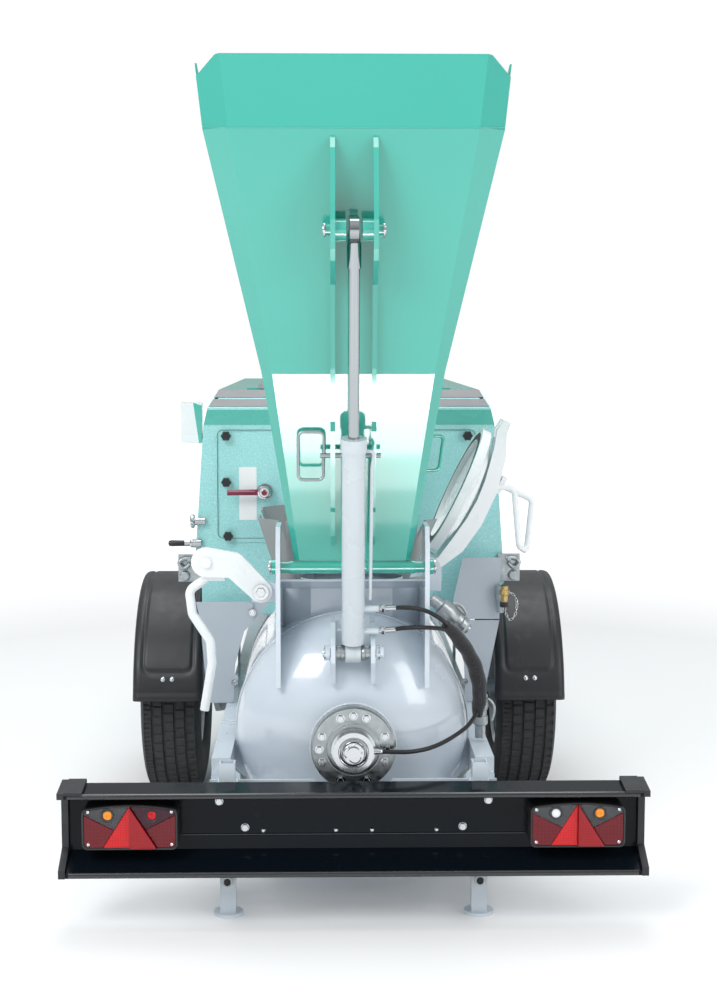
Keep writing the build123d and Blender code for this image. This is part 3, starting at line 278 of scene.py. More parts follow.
# CAD nodes by look.
DRESS = {
    "frame": "chassis_frame axle_beam leg_left leg_right",
    "guard": "mudguard_left mudguard_right",
    "tyre": "tyre_left tyre_right",
    "rim": "rim_left rim_right",
    "green_dark": "hood_door_left hood_door_right",
    "zinc": ("drawbar coupling_head brake_lever jockey_tube jockey_fork bolts bearing_flange"
             " mixer_shaft skip_lock_pin outlet_pipe air_fittings"),
    "cast": "overrun_housing engine_block air_compressor gearbox",
    "cap": "coupling_handle bar_end_caps",
    "rubber": "jockey_wheel hoses",
    "bar": "light_bar",
    "case": "lamp_housings",
    "lens_red": "lamp_red_lenses",
    "lens_clear": "lamp_clear_lenses",
    "triangle": "lamp_triangles",
    "vessel": "pressure_vessel filling_neck vessel_saddles cylinder_lugs",
    "funnel": "filling_funnel",
    "bright": "shaft_cap",
    "barrel": "cylinder_barrel",
    "rod": "cylinder_rod",
    "green": "skip_shell skip_rails skip_handle",
    # control_flap wears the white enamel as a painted reflection: its bright rear edge is light reflected
    # off glossy paint.
    "white": "lid_dome lid_arm lid_handle lock_lever lock_handle control_flap",
    "seal": "lid_seal",
    "shield": "side_shields",
    "turquoise": "hood_shell rear_panel",
    "knob": "panel_knobs",
    "red": "valve_lever",
    "tank": "fuel_tank",
}
NODE_LOOK = {node: look for look, nodes in DRESS.items() for node in nodes.split()}
NO_BEVEL = {"tyre_left", "tyre_right", "pressure_vessel", "lamp_red_lenses", "lamp_clear_lenses",
            "lamp_triangles", "hoses", "mixer_shaft"}


def smooth_faces(mesh, degrees):
    """Smooth shading, kept sharp where faces meet at more than this angle."""
    for polygon in mesh.polygons:
        polygon.use_smooth = True
    mesh.set_sharp_from_angle(angle=math.radians(degrees))


def dress_nodes():
    """Give every carried-over CAD node its material, smooth shading and softened edges."""
    for name, node in NODES.items():
        node.data.materials.clear()
        node.data.materials.append(MATS[NODE_LOOK[name]])
        smooth_faces(node.data, 28)
        if name not in NO_BEVEL:
            soften = node.modifiers.new("edges", "BEVEL")
            soften.width = 0.0012
            soften.segments = 2
            soften.limit_method = "ANGLE"
            soften.angle_limit = math.radians(40)
            soften.harden_normals = True


dress_nodes()


# ---- mesh helpers ----
def add(name, bm, look, slot, body="root", smooth=40):
    """Turn finished bmesh work into a piece that rides on a body."""
    mesh = bpy.data.meshes.new(name)
    bm.normal_update()
    bm.to_mesh(mesh)
    bm.free()
    piece = bpy.data.objects.new(name, mesh)
    bpy.context.scene.collection.objects.link(piece)
    mesh.materials.append(MATS[look])
    smooth_faces(mesh, smooth)
    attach(piece, body)
    return piece


def frame_along(direction):
    """Matrix whose Z axis points along a direction."""
    return Vector(direction).to_track_quat("Z", "Y").to_matrix().to_4x4()


def lathe(bm, origin, direction, profile, steps=48):
    """Turn (distance along, radius) points about an axis; a radius of 0 closes the end."""
    place = Matrix.Translation(origin) @ frame_along(direction)
    rings = []
    for along, radius in profile:
        if radius <= 0:
            rings.append([bm.verts.new(place @ Vector((0, 0, along)))])
            continue
        ring = []
        for i in range(steps):
            a = 2 * math.pi * i / steps
            point = Vector((radius * math.cos(a), radius * math.sin(a), along))
            ring.append(bm.verts.new(place @ point))
        rings.append(ring)
    for low, high in zip(rings, rings[1:]):
        for i in range(steps):
            j = (i + 1) % steps
            if len(low) == 1 and len(high) == 1:
                continue
            if len(low) == 1:
                bm.faces.new((low[0], high[j], high[i]))
            elif len(high) == 1:
                bm.faces.new((low[i], low[j], high[0]))
            else:
                bm.faces.new((low[i], low[j], high[j], high[i]))


def hexagon(bm, origin, direction, across, height):
    """Hexagon head with chamfered corners and a low washer face."""
    radius = across / math.sqrt(3)
    washer = [(0, 0), (0, across * 0.62), (height * 0.15, across * 0.62), (height * 0.15, across * 0.4)]
    lathe(bm, origin, direction, washer, 24)
    head = [(height * 0.1, radius), (height * 0.85, radius), (height, radius * 0.88), (height, 0)]
    lathe(bm, origin, direction, head, 6)


def smooth_line(points, count):
    """Points along one smooth curve through the given control points, as the spline draws it."""
    curve = bpy.data.curves.new("route", "CURVE")
    curve.dimensions = "3D"
    spline = curve.splines.new("NURBS")
    spline.points.add(len(points) - 1)
    for target, point in zip(spline.points, points):
        target.co = (*point, 1)
    spline.use_endpoint_u = True
    spline.order_u = 3
    curve.resolution_u = max(4, count // max(1, len(points) - 2))
    holder = bpy.data.objects.new("route", curve)
    mesh = bpy.data.meshes.new_from_object(holder)
    line = [v.co.copy() for v in mesh.vertices]
    bpy.data.objects.remove(holder)
    bpy.data.meshes.remove(mesh)
    return line


def tube_along(bm, line, radius, steps=16, closed=False):
    """Round tube along a line; radius is a number or a function of the share of the way."""
    rings = []
    previous = None
    for i, point in enumerate(line):
        if closed:
            direction = line[(i + 1) % len(line)] - line[i - 1]
        else:
            direction = line[min(i + 1, len(line) - 1)] - line[max(i - 1, 0)]
        direction.normalize()
        if previous is None:
            side = direction.orthogonal().normalized()
        else:
            side = (previous - direction * previous.dot(direction)).normalized()
        previous = side
        up = direction.cross(side)
        share = i / (len(line) - 1)
        ring = []
        for k in range(steps):
            a = 2 * math.pi * k / steps
            r = radius(share, a) if callable(radius) else radius
            ring.append(bm.verts.new(point + (side * math.cos(a) + up * math.sin(a)) * r))
        rings.append(ring)
    pairs = list(zip(rings, rings[1:]))
    if closed:
        pairs.append((rings[-1], rings[0]))
    for low, high in pairs:
        for k in range(steps):
            j = (k + 1) % steps
            bm.faces.new((low[k], low[j], high[j], high[k]))
    if not closed:
        bm.faces.new(list(reversed(rings[0])))
        bm.faces.new(rings[-1])


def slab(bm, corners, thickness):
    """Flat plate from its front corners, thickened along its own normal."""
    front = [bm.verts.new(c) for c in corners]
    face = bm.faces.new(front)
    face.normal_update()
    back = [bm.verts.new(v.co - face.normal * thickness) for v in front]
    bm.faces.new(list(reversed(back)))
    count = len(front)
    for i in range(count):
        j = (i + 1) % count
        bm.faces.new((front[j], front[i], back[i], back[j]))


def round_edges(piece, width, segments=3):
    soften = piece.modifiers.new("edges", "BEVEL")
    soften.width = width
    soften.segments = segments
    soften.limit_method = "ANGLE"
    soften.angle_limit = math.radians(35)
    soften.harden_normals = True


def on_both_sides(build):
    for side, name in SIDES:
        build(side, name)


def turned(name, centre, direction, profile, segments, *look):
    """One lathe-turned piece."""
    bm = bmesh.new()
    lathe(bm, centre, direction, profile, segments)
    add(name, bm, *look)


# ---- wheels ----
SIDES = ((-1, "left"), (1, "right"))
HUB_Y, HUB_Z, WHEEL_X = 1350, 325, 564
TYRE_R, BEAD_R = 325, 178.5
TREAD_HALF, CROWN = 76, 0.0006     # half the tread's width, and how fast it falls away across
PITCHES, STEPS_PER_PITCH = 64, 6   # tread blocks around the tyre, and mesh steps in each
GROOVES = (-52, -18, 18, 52)       # middles of the grooves that run round the tyre
GROOVE_HALF, GROOVE_DEEP, SIPE_DEEP = 4.5, 7.0, 4.5
SIDE_WALL = ((62, BEAD_R), (74, BEAD_R + 6), (88, BEAD_R + 30), (94, BEAD_R + 62), (95, BEAD_R + 84),
             (91, BEAD_R + 112), (84, TYRE_R - 10), (79, TYRE_R - 3.5))
TYRE_INSIDE = ((60, BEAD_R + 1), (72, BEAD_R + 50), (66, BEAD_R + 118))


def tread_line():
    """Across positions over the tread, each with its groove depth, in millimetres."""
    line = []
    edges = [-TREAD_HALF]
    for middle in GROOVES:
        edges += [middle - GROOVE_HALF, middle + GROOVE_HALF]
    edges.append(TREAD_HALF)
    for left, right in zip(edges[::2], edges[1::2]):
        for i in range(4):
            line.append((left + (right - left) * i / 3, 0.0))
        if right < TREAD_HALF:
            line += [(right + 1, GROOVE_DEEP), (right + 2 * GROOVE_HALF - 1, GROOVE_DEEP)]
    return line


def tyre_section():
    """Closed outline across the tyre: (across, radius, whether on the tread, groove depth)."""
    wall = smooth_line([Vector((x, r, 0)) for x, r in SIDE_WALL], 16)
    section = [(-p.x, p.y, False, 0) for p in wall]
    section += [(x, TYRE_R - CROWN * x * x, True, depth) for x, depth in tread_line()]
    section += [(p.x, p.y, False, 0) for p in reversed(wall)]
    section += [(x, r, False, 0) for x, r in TYRE_INSIDE]
    section += [(-x, r, False, 0) for x, r in reversed(TYRE_INSIDE)]
    return section


def in_sipe(step, x):
    """Whether a cut across the tread runs here; each rib's cuts are set off from the next one's."""
    rib = sum(x > middle for middle in GROOVES)
    at_shoulder = rib in (0, len(GROOVES)) and abs(x) > 62
    if (step + 2 * rib) % STEPS_PER_PITCH == 0:
        return True
    return at_shoulder and (step + 3) % STEPS_PER_PITCH == 0


def tyre(side, name):
    section = tyre_section()
    steps = PITCHES * STEPS_PER_PITCH
    bm = bmesh.new()
    rings = []
    for i in range(steps):
        a = 2 * math.pi * i / steps
        ring = []
        for x, r, on_tread, depth in section:
            if on_tread and not depth and in_sipe(i, x):
                depth = SIPE_DEEP
            r -= depth
            point = at(side * WHEEL_X + x, HUB_Y + r * math.cos(a), HUB_Z + r * math.sin(a))
            ring.append(bm.verts.new(point))
        rings.append(ring)
    count = len(section)
    for i in range(steps):
        low, high = rings[i], rings[(i + 1) % steps]
        for k in range(count):
            j = (k + 1) % count
            bm.faces.new((low[k], low[j], high[j], high[k]))
    bmesh.ops.recalc_face_normals(bm, faces=bm.faces)
    piece = add("tyre_tread_" + name, bm, "tyre", "tyre_black", "wheel_" + name, 30)
    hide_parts("tyre_" + name)


# ---- mudguards ----
GUARD_R, GUARD_IN, GUARD_OUT, GUARD_LOW = 388, 455, 668, 365
GUARD_SHEET = 3
GUARD_HALF = (GUARD_OUT - GUARD_IN) / 2
GUARD_MIDDLE = (GUARD_OUT + GUARD_IN) / 2
GUARD_START = math.asin((GUARD_LOW - HUB_Z) / GUARD_R)     # angle of the lower edges
GUARD_LENGTH = GUARD_R * (math.pi - 2 * GUARD_START)       # round the arc, edge to edge
PRESS_INSET, PRESS_CORNER, PRESS_END = 30, 26, 88          # pressed line: from the side, and from the edge
PRESS_DEEP, PRESS_HALF = 3.2, 7
EDGE_BAND, EDGE_RAISED = (4, 19), 2.5
RIVETS_UP = 68                                             # rivets above the lower edge
# The rolled side of the sheet, as (across from the middle, out from the sheet).
GUARD_SIDE = ((-GUARD_HALF, -32), (-GUARD_HALF, -22), (-GUARD_HALF, -14), (-GUARD_HALF + 2, -8),
              (-GUARD_HALF + 5.5, -3.5), (-GUARD_HALF + 11, -1))
RIVET = ((0, 0), (0, 0.0075), (0.0015, 0.0072), (0.0032, 0.005), (0.004, 0))


def guard_emboss(x, s):
    """Depth of the pressed line, a rounded box that follows the guard's outline."""
    dx = abs(x) - (GUARD_HALF - PRESS_INSET - PRESS_CORNER)
    ds = PRESS_END + PRESS_CORNER - min(s, GUARD_LENGTH - s)
    outside = math.hypot(max(dx, 0), max(ds, 0)) - PRESS_CORNER + min(max(dx, ds), 0)
    band = abs(outside)
    if band >= PRESS_HALF:
        return 0.0
    return PRESS_DEEP * math.cos(band / PRESS_HALF * math.pi / 2)


def guard_shell(side, name):
    flat = 45
    profile = list(GUARD_SIDE)
    profile += [(-GUARD_HALF + 18 + i * (2 * GUARD_HALF - 36) / (flat - 1), 0) for i in range(flat)]
    profile += [(-x, out) for x, out in reversed(GUARD_SIDE)]
    bm = bmesh.new()
    rings = []
    steps = 150
    for i in range(steps + 1):
        s = GUARD_LENGTH * i / steps
        a = GUARD_START + s / GUARD_R
        raised = EDGE_RAISED if EDGE_BAND[0] < min(s, GUARD_LENGTH - s) < EDGE_BAND[1] else 0.0
        ring = []
        for x, out in profile:
            r = GUARD_R - GUARD_SHEET + out - guard_emboss(x, s) + raised
            point = at(side * (GUARD_MIDDLE + x), HUB_Y - r * math.cos(a), HUB_Z + r * math.sin(a))
            ring.append(bm.verts.new(point))
        rings.append(ring)
    for low, high in zip(rings, rings[1:]):
        for k in range(len(profile) - 1):
            bm.faces.new((low[k], low[k + 1], high[k + 1], high[k]))
    bmesh.ops.recalc_face_normals(bm, faces=bm.faces)
    guard = add("mudguard_shell_" + name, bm, "guard", "guard_black", smooth=50)
    sheet = guard.modifiers.new("sheet", "SOLIDIFY")
    sheet.thickness = GUARD_SHEET / 1000
    sheet.offset = 0
    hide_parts("mudguard_" + name)


def bar_block(bm, x0, x1, y0, y1, z0, z1):
    """Rectangular bar given in millimetres, for bevelling later."""
    x0, x1 = sorted((x0, x1))
    low, high = at(x0, y0, z0), at(x1, y1, z1)
    made = bmesh.ops.create_cube(bm, size=1.0)
    for v in made["verts"]:
        v.co = (low + high) / 2 + Vector(v.co[i] * (high - low)[i] for i in range(3))


def guard_fixings(side, name):
    bm = bmesh.new()
    for y in (HUB_Y - 290, HUB_Y + 250):
        bar_block(bm, side * 372, side * 380, y, y + 40, 340, 560)
        bar_block(bm, side * 372, side * (GUARD_IN + 2), y, y + 40, 552, 560)
    brackets = add("mudguard_brackets_" + name, bm, "frame", "frame_grey")
    round_edges(brackets, 0.0015, 2)
    bm = bmesh.new()
    a = GUARD_START + RIVETS_UP / GUARD_R
    out = Vector((0, -math.cos(a), math.sin(a)))
    for x in (-14, 14):
        base = at(side * (GUARD_MIDDLE + x), HUB_Y, HUB_Z) + out * (GUARD_R - 2) / 1000
        lathe(bm, base, out, RIVET, 20)
    add("mudguard_rivets_" + name, bm, "bright", "zinc")


for wheel_side, wheel_name in SIDES:
    tyre(wheel_side, wheel_name)
    guard_shell(wheel_side, wheel_name)
    guard_fixings(wheel_side, wheel_name)


# ---- hoses of the lift cylinder and the shaft cap ----
HOSE_R, SLEEVE_R = 0.0058, 0.020
UPPER_HOSE = (at(69, 211, 781.7), at(100, 209, 783), at(142, 208, 785), at(186, 222, 776),
              at(226, 252, 750), at(248, 280, 728), at(262, 306, 706))
LOWER_HOSE = (at(69, 222.3, 721), at(98, 220, 724), at(136, 221, 729), at(182, 236, 727),
              at(222, 262, 720), at(248, 286, 712), at(258, 306, 698))
CAP_HOSE = (at(64, 139, 422), at(100, 138, 421), at(150, 142, 419), at(210, 172, 424), at(270, 236, 438),
            at(318, 300, 456), at(334, 336, 476))
SLEEVE = (at(246, 288, 724), at(274, 312, 694), at(308, 330, 646), at(332, 342, 596), at(344, 350, 540),
          at(342, 352, 492), at(337, 352, 462))
FERRULE = ((0, 0), (0, 0.008), (0.012, 0.008), (0.012, 0.0066), (0.016, 0.0066), (0.016, 0.0085),
           (0.04, 0.0085), (0.042, 0.0062), (0.042, 0))
NIPPLE = ((-0.01, 0), (-0.01, 0.0075), (0.008, 0.0075), (0.01, 0.006), (0.01, 0))


def cylinder_hoses():
    """Both hoses run between the swinging cylinder and the sleeve, which is fixed; the hoses are taken off
    the cylinder's body and stay where drawn, while their ferrules ride on it.
    """
    fittings = bmesh.new()
    for name, route in (("hose_upper", UPPER_HOSE), ("hose_lower", LOWER_HOSE)):
        bm = bmesh.new()
        tube_along(bm, smooth_line(route, 40), HOSE_R, 14)
        hose = add(name, bm, "rubber", "rubber_black", "lift_barrel")
        hose.parent = None
        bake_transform(hose)
        run = route[1] - route[0]
        lathe(fittings, route[0], run, FERRULE, 24)
        hexagon(fittings, route[0] + run.normalized() * 0.004, run, 0.019, 0.009)
    add("hose_ferrules", fittings, "bright", "zinc", "lift_barrel")


def cap_hose():
    bm = bmesh.new()
    tube_along(bm, smooth_line(CAP_HOSE, 40), HOSE_R, 14)
    add("hose_cap", bm, "rubber", "rubber_black")
    turned("hose_cap_nipple", CAP_HOSE[0], CAP_HOSE[1] - CAP_HOSE[0], NIPPLE, 20, "bright", "zinc")


def ruffled(share, a):
    """Radius of the textile sleeve, drawn in at its ends and slightly folded."""
    width = SLEEVE_R * (0.62 + 0.38 * min(1, share * 6, (1 - share) * 8))
    folds = 0.0007 * math.sin(share * 34 + 2 * math.sin(a))
    return width + folds + 0.0008 * math.sin(a * 2 + share * 12)


def hose_sleeve():
    bm = bmesh.new()
    tube_along(bm, smooth_line(SLEEVE, 90), ruffled, 30)
    sleeve = add("hose_sleeve", bm, "braid", "rubber_black")
    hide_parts("hoses")


cylinder_hoses()
cap_hose()
hose_sleeve()


# ---- knobs, plate, lever and seam of the service panel ----
REARWARD = (0, -1, 0)
PANEL_Y = 946
STAR_KNOBS = ((-372, 1186), (-372, 1046), (-368, 882), (358, 1186), (358, 1046), (354, 882))
KNOB_R, KNOB_H, KNOB_LOBES = 0.0155, 0.026, 6
KNOB_LEVELS = ((0, 0.45), (0.3, 0.5), (0.4, 0.92), (0.55, 1.0), (0.85, 0.96), (1, 0.8))
PLATE_LEFT, PLATE_RIGHT, PLATE_LOW, PLATE_HIGH = -334, -281, 930, 1091
VALVE_PLACE = at(-256, PANEL_Y - 45.5, 1018)
VALVE_RING = ((0, 0.006), (0, 0.0185), (0.003, 0.0205), (0.006, 0.0195), (0.007, 0.0155),
              (0.004, 0.0145), (0.004, 0.009), (0.009, 0.0085), (0.0105, 0.006), (0.0105, 0))
GRIP_LINE = (at(-284, 907, 1018), at(-318, 905, 1018), at(-350, 904, 1017), at(-367, 904, 1017))


def star_knob(bm, origin, direction):
    """Lobed clamping knob with a domed face on a narrower neck."""
    place = Matrix.Translation(origin) @ frame_along(direction)
    steps = 48
    rings = []
    for height, share in KNOB_LEVELS:
        ring = []
        for i in range(steps):
            a = 2 * math.pi * i / steps
            r = KNOB_R * share
            if height > 0.35:
                r *= 1 - 0.14 * (0.5 - 0.5 * math.cos(KNOB_LOBES * a))
            ring.append(bm.verts.new(place @ Vector((r * math.cos(a), r * math.sin(a), height * KNOB_H))))
        rings.append(ring)
    tip = bm.verts.new(place @ Vector((0, 0, KNOB_H * 1.02)))
    for i in range(steps):
        j = (i + 1) % steps
        for low, high in zip(rings, rings[1:]):
            bm.faces.new((low[i], low[j], high[j], high[i]))
        bm.faces.new((rings[-1][i], rings[-1][j], tip))
    bm.faces.new(list(reversed(rings[0])))


def star_knobs():
    bm = bmesh.new()
    for x, z in STAR_KNOBS:
        star_knob(bm, at(x, PANEL_Y, z), REARWARD)
    knobs = add("star_knobs", bm, "knob", "knob_black", smooth=35)
    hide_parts("panel_knobs")


def blank_plate():
    bm = bmesh.new()
    corners = ((PLATE_LEFT, PLATE_LOW), (PLATE_RIGHT, PLATE_LOW), (PLATE_RIGHT, PLATE_HIGH),
               (PLATE_LEFT, PLATE_HIGH))
    slab(bm, [at(x, PANEL_Y - 1, z) for x, z in corners], 0.0008)
    add("blank_plate", bm, "decal", "lamp_case")


def grip_width(share, a):
    """Radius of the lever's grip, widening to its end and lightly fluted."""
    return 0.0058 + 0.0032 * share + 0.0006 * math.cos(6 * a)


def valve_trim():
    turned("valve_ring", VALVE_PLACE, REARWARD, VALVE_RING, 36, "bright", "zinc", "valve")
    bm = bmesh.new()
    tube_along(bm, smooth_line(GRIP_LINE, 24), grip_width, 24)
    add("valve_grip", bm, "red", "lever_red", "valve")


def arc(cx, cz, radius, start):
    """Quarter circle from a start angle in degrees, as (x, z) points."""
    points = []
    for i in range(7):
        a = math.radians(start + 15 * i)
        points.append((cx + radius * math.cos(a), cz + radius * math.sin(a)))
    return points


def panel_seam():
    """Dark line round the removable panel."""
    x0, x1, z0, z1, radius = -399, 382, 874, 1203, 16
    outline = arc(x1 - radius, z0 + radius, radius, -90)
    outline += arc(x1 - radius, z1 - radius, radius, 0)
    outline += arc(x0 + radius, z1 - radius, radius, 90)
    outline += arc(x0 + radius, z0 + radius, radius, 180)
    bm = bmesh.new()
    tube_along(bm, [at(x, PANEL_Y - 0.1, z) for x, z in outline], 0.0008, 6, closed=True)
    add("panel_seam", bm, "seal", "rubber_black")


star_knobs()
blank_plate()
valve_trim()
panel_seam()


# ---- lamps ----
LAMP_X, LAMP_HALF, LAMP_LOW, LAMP_HIGH, LAMP_FACE = 560, 119, 207, 322, 15
LAMP_CORNER, LAMP_ARCH = 14, 10
TRIANGLE_HALF, TRIANGLE_LOW, TRIANGLE_TOP = 67, 212, 317
SPLIT_NEAR, SPLIT_FAR = (30, 253), (122, 300)      # the slanting line between upper and lower field
LENS_GAP = 1.2
SCREW_X, SCREW_Z = 104, (220, 303)
BOWL = ((0, 0.0125), (0.0028, 0.0145), (0.0034, 0.0155), (0.0034, 0.0165), (0, 0.0175))
BULB = ((0, 0), (0, 0.0115), (0.0022, 0.0105), (0.0040, 0.0070), (0.0046, 0))
SCREW = ((0, 0), (0, 0.0042), (0.0012, 0.0044), (0.0024, 0.003), (0.0024, 0.0014), (0.0012, 0.001),
         (0.0012, 0))


def lamp_outline(margin):
    """Outline of the lamp's face, (across, up) in millimetres, with an arched top."""
    w, r = LAMP_HALF - margin, LAMP_CORNER
    low, top = LAMP_LOW + margin, LAMP_HIGH - margin - LAMP_ARCH
    outline = arc(w - r, low + r, r, -90) + arc(w - r, top - r, r, 0)
    for i in range(1, 12):
        x = (w - r) * (1 - i / 6)
        outline.append((x, top + LAMP_ARCH * (1 - (x / (w - r)) ** 2)))
    return outline + arc(-w + r, top - r, r, 90) + arc(-w + r, low + r, r, 180)


def clip(outline, a, b):
    """Keep the part of a polygon to the left of the line from a to b."""
    def side(p):
        return (b[0] - a[0]) * (p[1] - a[1]) - (b[1] - a[1]) * (p[0] - a[0])

    kept = []
    for p, q in zip(outline, outline[1:] + outline[:1]):
        sp, sq = side(p), side(q)
        if sp >= 0:
            kept.append(p)
        if sp * sq < 0:
            t = sp / (sp - sq)
            kept.append((p[0] + (q[0] - p[0]) * t, p[1] + (q[1] - p[1]) * t))
    return kept


def lens_piece(name, x, outline, look, slot, depth=9):
    bm = bmesh.new()
    slab(bm, [at(x + u, LAMP_FACE + 1, z) for u, z in outline], depth / 1000)
    bmesh.ops.recalc_face_normals(bm, faces=bm.faces)
    piece = add(name, bm, look, slot, smooth=30)
    round_edges(piece, 0.001, 2)
    return piece


def lens_fields(half):
    """Lower and upper field on one side of the triangle; half is -1 left of it and 1 right."""
    face = lamp_outline(5)
    foot = (half * (TRIANGLE_HALF + LENS_GAP), TRIANGLE_LOW)
    apex = (half * LENS_GAP, TRIANGLE_TOP)
    near = (half * SPLIT_NEAR[0], SPLIT_NEAR[1])
    far = (half * SPLIT_FAR[0], SPLIT_FAR[1])
    if half < 0:
        zone = clip(face, foot, apex)
        start, end = far, near
    else:
        zone = clip(face, apex, foot)
        start, end = near, far
    lower = clip(zone, (end[0], end[1] - LENS_GAP), (start[0], start[1] - LENS_GAP))
    return lower, clip(zone, start, end)


def bulb_look(side, half):
    """Amber outside on both lamps; inside, red on the left lamp and white on the right."""
    if half == side:
        return "amber"
    return "lens_red" if side < 0 else "decal"


def lamp(side, name):
    x = side * LAMP_X
    triangles, lower_fields, upper_fields = [], [], []
    # Each triangle's left half gets the lit copy of the lens (painted light) and its right half the shaded
    # copy (painted shade).
    for half, look in ((-1, "triangle"), (1, "triangle_painted_shade")):
        foot, centre = half * TRIANGLE_HALF, half * 0.2
        corners = [(foot, TRIANGLE_LOW), (centre, TRIANGLE_LOW), (centre, TRIANGLE_TOP)]
        triangles.append(lens_piece(f"lamp_triangle_{look}_{name}", x, corners, look, "lens_red", 11))
    for half in (-1, 1):
        place = "outer" if half == side else "inner"
        lower, upper = lens_fields(half)
        lower_fields.append(lens_piece(f"lamp_red_{place}_{name}", x, lower, "lens_dark", "lens_red"))
        glass = "lens_plum" if side < half else "lens_clear"
        upper_fields.append(lens_piece(f"lamp_clear_{place}_{name}", x, upper, glass, "lens_clear", 3))
        centre = at(x + half * 55, LAMP_FACE + 3, 294)
        turned(f"lamp_bowl_{place}_{name}", centre, REARWARD, BOWL, 32, "case", "lens_clear")
        turned(f"lamp_bulb_{place}_{name}", centre, REARWARD, BULB, 24, bulb_look(side, half), "lens_red")
    bm = bmesh.new()
    for across in (-SCREW_X, SCREW_X):
        for z in SCREW_Z:
            lathe(bm, at(x + across, LAMP_FACE + 1, z), REARWARD, SCREW, 20)
    add("lamp_screws_" + name, bm, "bright", "zinc")
    bm = bmesh.new()
    rim = [at(x + u, LAMP_FACE + 0.5, z) for u, z in lamp_outline(2.2)]
    tube_along(bm, rim, 0.0022, 8, closed=True)
    add("lamp_rim_" + name, bm, "case", "lamp_case")
    if side < 0:
        # One CAD node holds both lamps' lenses, so the left lamp's pieces speak for both.
        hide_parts("lamp_triangles")
        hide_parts("lamp_red_lenses")
        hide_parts("lamp_clear_lenses")


on_both_sides(lamp)


# ---- bolts, flange and shaft cap ----
FLANGE_Y, SHAFT_Z = 165, 422
CAP_FACE_Y = FLANGE_Y - 46
BAR_WEB_Y, SHIELD_Y = 77, 862
BAR_BOLTS = ((341, 312), (276, 244))
BAR_RIVETS_X, BAR_RIVETS_Z = (-46, 210, -230, 46), 236
BOLT_CIRCLE, BOLT_SPACING = 88, 22.5
BOLT_PLACES = (0, 1, 3, 4, 5, 7, 9, 11, 12, 13, 15)        # bolt holes in use, counted from the top
SHIELD_BOLTS = ((292, 659), (347, 446))
LOCK_PIVOT = at(-245, 364, 800)
RIVET_HEAD = ((0, 0), (0, 0.006), (0.002, 0.0058), (0.0042, 0.0035), (0.005, 0))
FLANGE_WASHER = ((0, 0), (0, 0.0115), (0.0025, 0.0115), (0.0025, 0.006))
SHIELD_WASHER = ((0, 0), (0, 0.010), (0.002, 0.010), (0.002, 0.006))
PIVOT_WASHER = ((-0.002, 0), (-0.002, 0.022), (0.002, 0.021), (0.002, 0.010))
CAP_RINGS = ((0, 0.0395), (0.003, 0.0385), (0.004, 0.036), (0.002, 0.034), (0.001, 0.0315),
             (0.0035, 0.030), (0.0045, 0.0285), (0.002, 0.0275))
FLANGE_RINGS = ((0, 0.0735), (0.0012, 0.0735), (0.0016, 0.0715), (0.0008, 0.069), (0.0018, 0.0665),
                (0.0022, 0.062), (0.0022, 0.057))


def on_flange(radius, degrees, y):
    a = math.radians(degrees)
    return at(radius * math.cos(a), y, SHAFT_Z + radius * math.sin(a))


def fasteners():
    bm = bmesh.new()
    for side, _ in SIDES:
        for x, z in BAR_BOLTS:
            hexagon(bm, at(side * x, BAR_WEB_Y, z), REARWARD, 0.017, 0.008)
        for x, z in SHIELD_BOLTS:
            lathe(bm, at(side * x, SHIELD_Y, z), REARWARD, SHIELD_WASHER, 28)
            hexagon(bm, at(side * x, SHIELD_Y - 2, z), REARWARD, 0.013, 0.005)
    for x in BAR_RIVETS_X:
        lathe(bm, at(x, BAR_WEB_Y, BAR_RIVETS_Z), REARWARD, RIVET_HEAD, 20)
    for i in BOLT_PLACES:
        degrees = 90 + BOLT_SPACING * i
        lathe(bm, on_flange(BOLT_CIRCLE, degrees, FLANGE_Y), REARWARD, FLANGE_WASHER, 28)
        hexagon(bm, on_flange(BOLT_CIRCLE, degrees, FLANGE_Y - 2.2), REARWARD, 0.0155, 0.0095)
    lathe(bm, LOCK_PIVOT, REARWARD, PIVOT_WASHER, 32)
    hexagon(bm, LOCK_PIVOT, REARWARD, 0.024, 0.008)
    bolts = add("hex_bolts", bm, "bright", "zinc", smooth=30)
    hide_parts("bolts")


def cap_detail():
    """Turned rings, sealing nut and three raised curls on the shaft cap, and the flange's rings."""
    bm = bmesh.new()
    lathe(bm, at(0, FLANGE_Y - 33, SHAFT_Z), REARWARD, CAP_RINGS, 64)
    hexagon(bm, at(0, CAP_FACE_Y, SHAFT_Z), REARWARD, 0.030, 0.007)
    for i in range(3):
        curl = []
        for k in range(14):
            radius = 20 + 5.5 * math.sin(math.radians(13 * k))
            curl.append(on_flange(radius, 120 * i + 7 * k, CAP_FACE_Y - 0.6))
        tube_along(bm, curl, 0.0016, 8)
    add("cap_nut", bm, "bright", "zinc", smooth=35)
    turned("flange_rings", at(0, FLANGE_Y, SHAFT_Z), REARWARD, FLANGE_RINGS, 72, "zinc", "zinc", "root", 35)


def bar_rails():
    """Rolled edges of the light bar and the fold under its web."""
    bm = bmesh.new()
    for y, z, reach, radius in ((4, 346, 712, 7.5), (4, 146.5, 712, 7.5), (76, 226, 436, 2.5)):
        line = [at(x, y, z) for x in (-reach, -reach / 3, reach / 3, reach)]
        tube_along(bm, line, radius / 1000, 20)
    add("bar_rails", bm, "rail", "bar_black")


fasteners()
cap_detail()
bar_rails()


# ---- welds and seams ----
SKIP_SEAM_HALF, SKIP_SEAM_Y, SKIP_SEAM_Z = 302, 18, 1978
SKIP_SIDE = (366, 61, 1984)                # where the seam ends at the skip's edge
VESSEL_SEAM_R, VESSEL_SEAMS_Y = 316.5, (420, 1060)


